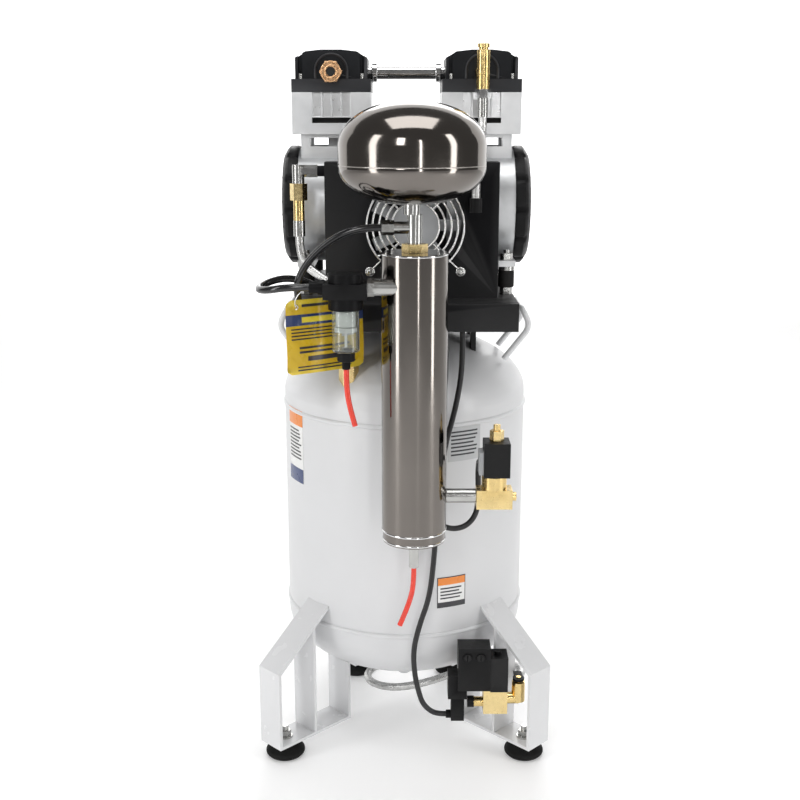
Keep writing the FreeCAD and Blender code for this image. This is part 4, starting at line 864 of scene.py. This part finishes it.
def marks(name, rects, place, columns=24, body="root"):
    """Thin printed patches; place(u, v, lift) gives the point on the carrier."""
    meshes = {}
    for u0, u1, v0, v1, material, lift in rects:
        bm = meshes.setdefault(material, bmesh.new())
        count = max(2, int(columns * abs(u1 - u0) / 0.05))
        front = [[bm.verts.new(place(u0 + (u1 - u0) * i / count, v, lift))
                  for i in range(count + 1)] for v in (v0, v1)]
        back = [[bm.verts.new(place(u0 + (u1 - u0) * i / count, v, lift - 0.00025))
                 for i in range(count + 1)] for v in (v0, v1)]
        for i in range(count):
            bm.faces.new((front[0][i], front[0][i + 1], front[1][i + 1], front[1][i]))
            bm.faces.new((back[1][i], back[1][i + 1], back[0][i + 1], back[0][i]))
            bm.faces.new((back[0][i], back[0][i + 1], front[0][i + 1], front[0][i]))
            bm.faces.new((front[1][i], front[1][i + 1], back[1][i + 1], back[1][i]))
        bm.faces.new((back[0][0], front[0][0], front[1][0], back[1][0]))
        bm.faces.new((front[0][-1], back[0][-1], back[1][-1], front[1][-1]))
    for material, bm in meshes.items():
        finish_mesh(f"{name}_{material}", bm, EXTRA[material], body=body)


def bars(u0, u1, top, count, pitch, material, thick=0.5, ragged=0.2):
    """Rows of plain bars that stand for lines of print."""
    rows = []
    for row in range(count):
        end = u1 - (u1 - u0) * ragged * random.random()
        high = top - row * pitch
        rows.append((u0, end, high - pitch * thick, high, material, 0.0007))
    return rows


TAG_AT = Vector((-0.087, -0.2003, 0.5393))
TAG_TURN = Matrix.Rotation(math.radians(35), 3, "Z")
TAG_HALF, TAG_HIGH_HALF, TAG_ROUND, TAG_LIFT = 0.049, 0.0407, 0.006, 0.0003


def tag_place(u, v, lift):
    bow = 0.0022 * math.sin(math.pi * (u + TAG_HALF) / (2 * TAG_HALF))
    bow = bow - 0.0009 * math.sin(3 * v / 0.04)
    return TAG_AT + TAG_TURN @ Vector((u, -lift - bow, v))


def hang_tag():
    bm = bmesh.new()
    columns, rows = 36, 24
    grids = []
    for _ in ("front", "back"):
        grid = []
        for r in range(rows + 1):
            v = -TAG_HIGH_HALF + 2 * TAG_HIGH_HALF * r / rows
            inset = max(0.0, abs(v) - (TAG_HIGH_HALF - TAG_ROUND))
            corner = math.sqrt(max(0.0, TAG_ROUND ** 2 - inset ** 2))
            half = TAG_HALF - (TAG_ROUND - corner)
            grid.append([bm.verts.new(tag_place(half * (2 * c / columns - 1), v, TAG_LIFT))
                         for c in range(columns + 1)])
        grids.append(grid)
    front, back = grids
    for r in range(rows):
        for c in range(columns):
            bm.faces.new((front[r][c], front[r][c + 1], front[r + 1][c + 1], front[r + 1][c]))
            bm.faces.new((back[r + 1][c], back[r + 1][c + 1], back[r][c + 1], back[r][c]))
    for r in range(rows):
        bm.faces.new((front[r][0], front[r + 1][0], back[r + 1][0], back[r][0]))
        bm.faces.new((front[r + 1][-1], front[r][-1], back[r][-1], back[r + 1][-1]))
    for c in range(columns):
        bm.faces.new((front[0][c + 1], front[0][c], back[0][c], back[0][c + 1]))
        bm.faces.new((front[-1][c], front[-1][c + 1], back[-1][c + 1], back[-1][c]))
    tag = finish_mesh("tag_sheet", bm, SHADES["tag_card"])
    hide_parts("hang_tag")
    rects = [(-0.049, 0.049, 0.0125, 0.0245, "band_blue", 0.0006),
             (-0.030, 0.026, 0.0155, 0.0215, "tag_bright", 0.0008)]
    rects += bars(-0.030, 0.034, 0.0355, 1, 0.006, "ink_dark")
    rects += bars(-0.043, 0.014, 0.0095, 4, 0.0036, "ink_dark", 0.42)
    rects += bars(-0.034, 0.036, -0.0105, 2, 0.0048, "ink_dark", 0.5)
    rects += bars(-0.024, 0.030, -0.0215, 1, 0.0070, "ink_dark", 0.75)
    rects += bars(-0.036, 0.038, -0.0320, 2, 0.0036, "ink_dark", 0.4)
    rects += [(0.018, 0.042, -0.004, 0.012, "label_white", 0.0006),
              (0.021, 0.039, -0.001, 0.009, "ink_dark", 0.0008)]
    marks("tag_print", rects, tag_place)
    tie = route_curve("tag_tie", [
        tag_place(-0.037, 0.033, 0.0005), (-0.1185, -0.226, 0.578), (-0.113, -0.229, 0.588),
        (-0.104, -0.2305, 0.594), (-0.096, -0.231, 0.596)])
    tie.data.bevel_depth = 0.0007
    tie.data.materials.append(SHADES["steel_wire"])
    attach(tie, "root")
    eyelet = bmesh.new()
    torus(eyelet, 0.0024, 0.0006, tag_place(-0.037, 0.033, 0.0003), "Y", 28, 8)
    finish_mesh("tag_eyelet", eyelet, SHADES["steel_wire"])


hang_tag()


def on_tank(middle_angle, middle_z):
    def place(u, v, lift):
        angle = math.radians(middle_angle) + u / TANK_RAD
        return Vector((math.sin(angle) * (TANK_RAD + lift), -math.cos(angle) * (TANK_RAD + lift),
                       middle_z + v))
    return place


def labels():
    """Generic plates on the receiver, with bands and plain bars in place of print."""
    grey = [(-0.0219, 0.0219, -0.0205, 0.0205, "label_grey", 0.0004)]
    grey += bars(-0.018, 0.018, 0.016, 7, 0.0046, "ink_dark", 0.42)
    marks("rating_plate", grey, on_tank(27.5, 0.3965))
    side = [(-0.0194, 0.0194, -0.046, 0.046, "label_white", 0.0004),
            (-0.0194, 0.0194, 0.026, 0.046, "ink_orange", 0.0006),
            (-0.0194, 0.0194, -0.046, -0.028, "band_blue", 0.0006)]
    side += bars(-0.016, 0.016, 0.021, 9, 0.0044, "ink_dark", 0.4)
    marks("side_plate", side, on_tank(-61.7, 0.377))
    notice = [(-0.0185, 0.0185, -0.0195, 0.0195, "ink_dark", 0.0004),
              (-0.0175, 0.0175, -0.0185, 0.0185, "label_white", 0.0006),
              (-0.0175, 0.0175, 0.0095, 0.0185, "ink_orange", 0.0008),
              (-0.0175, 0.0175, -0.0185, -0.0125, "ink_dark", 0.0008)]
    notice += [(u0, u1, v0, v1, m, 0.0009) for u0, u1, v0, v1, m, _ in
               bars(-0.0145, 0.0145, 0.006, 4, 0.0042, "ink_dark", 0.4)]
    marks("notice_plate", notice, on_tank(21.8, 0.2127))


labels()
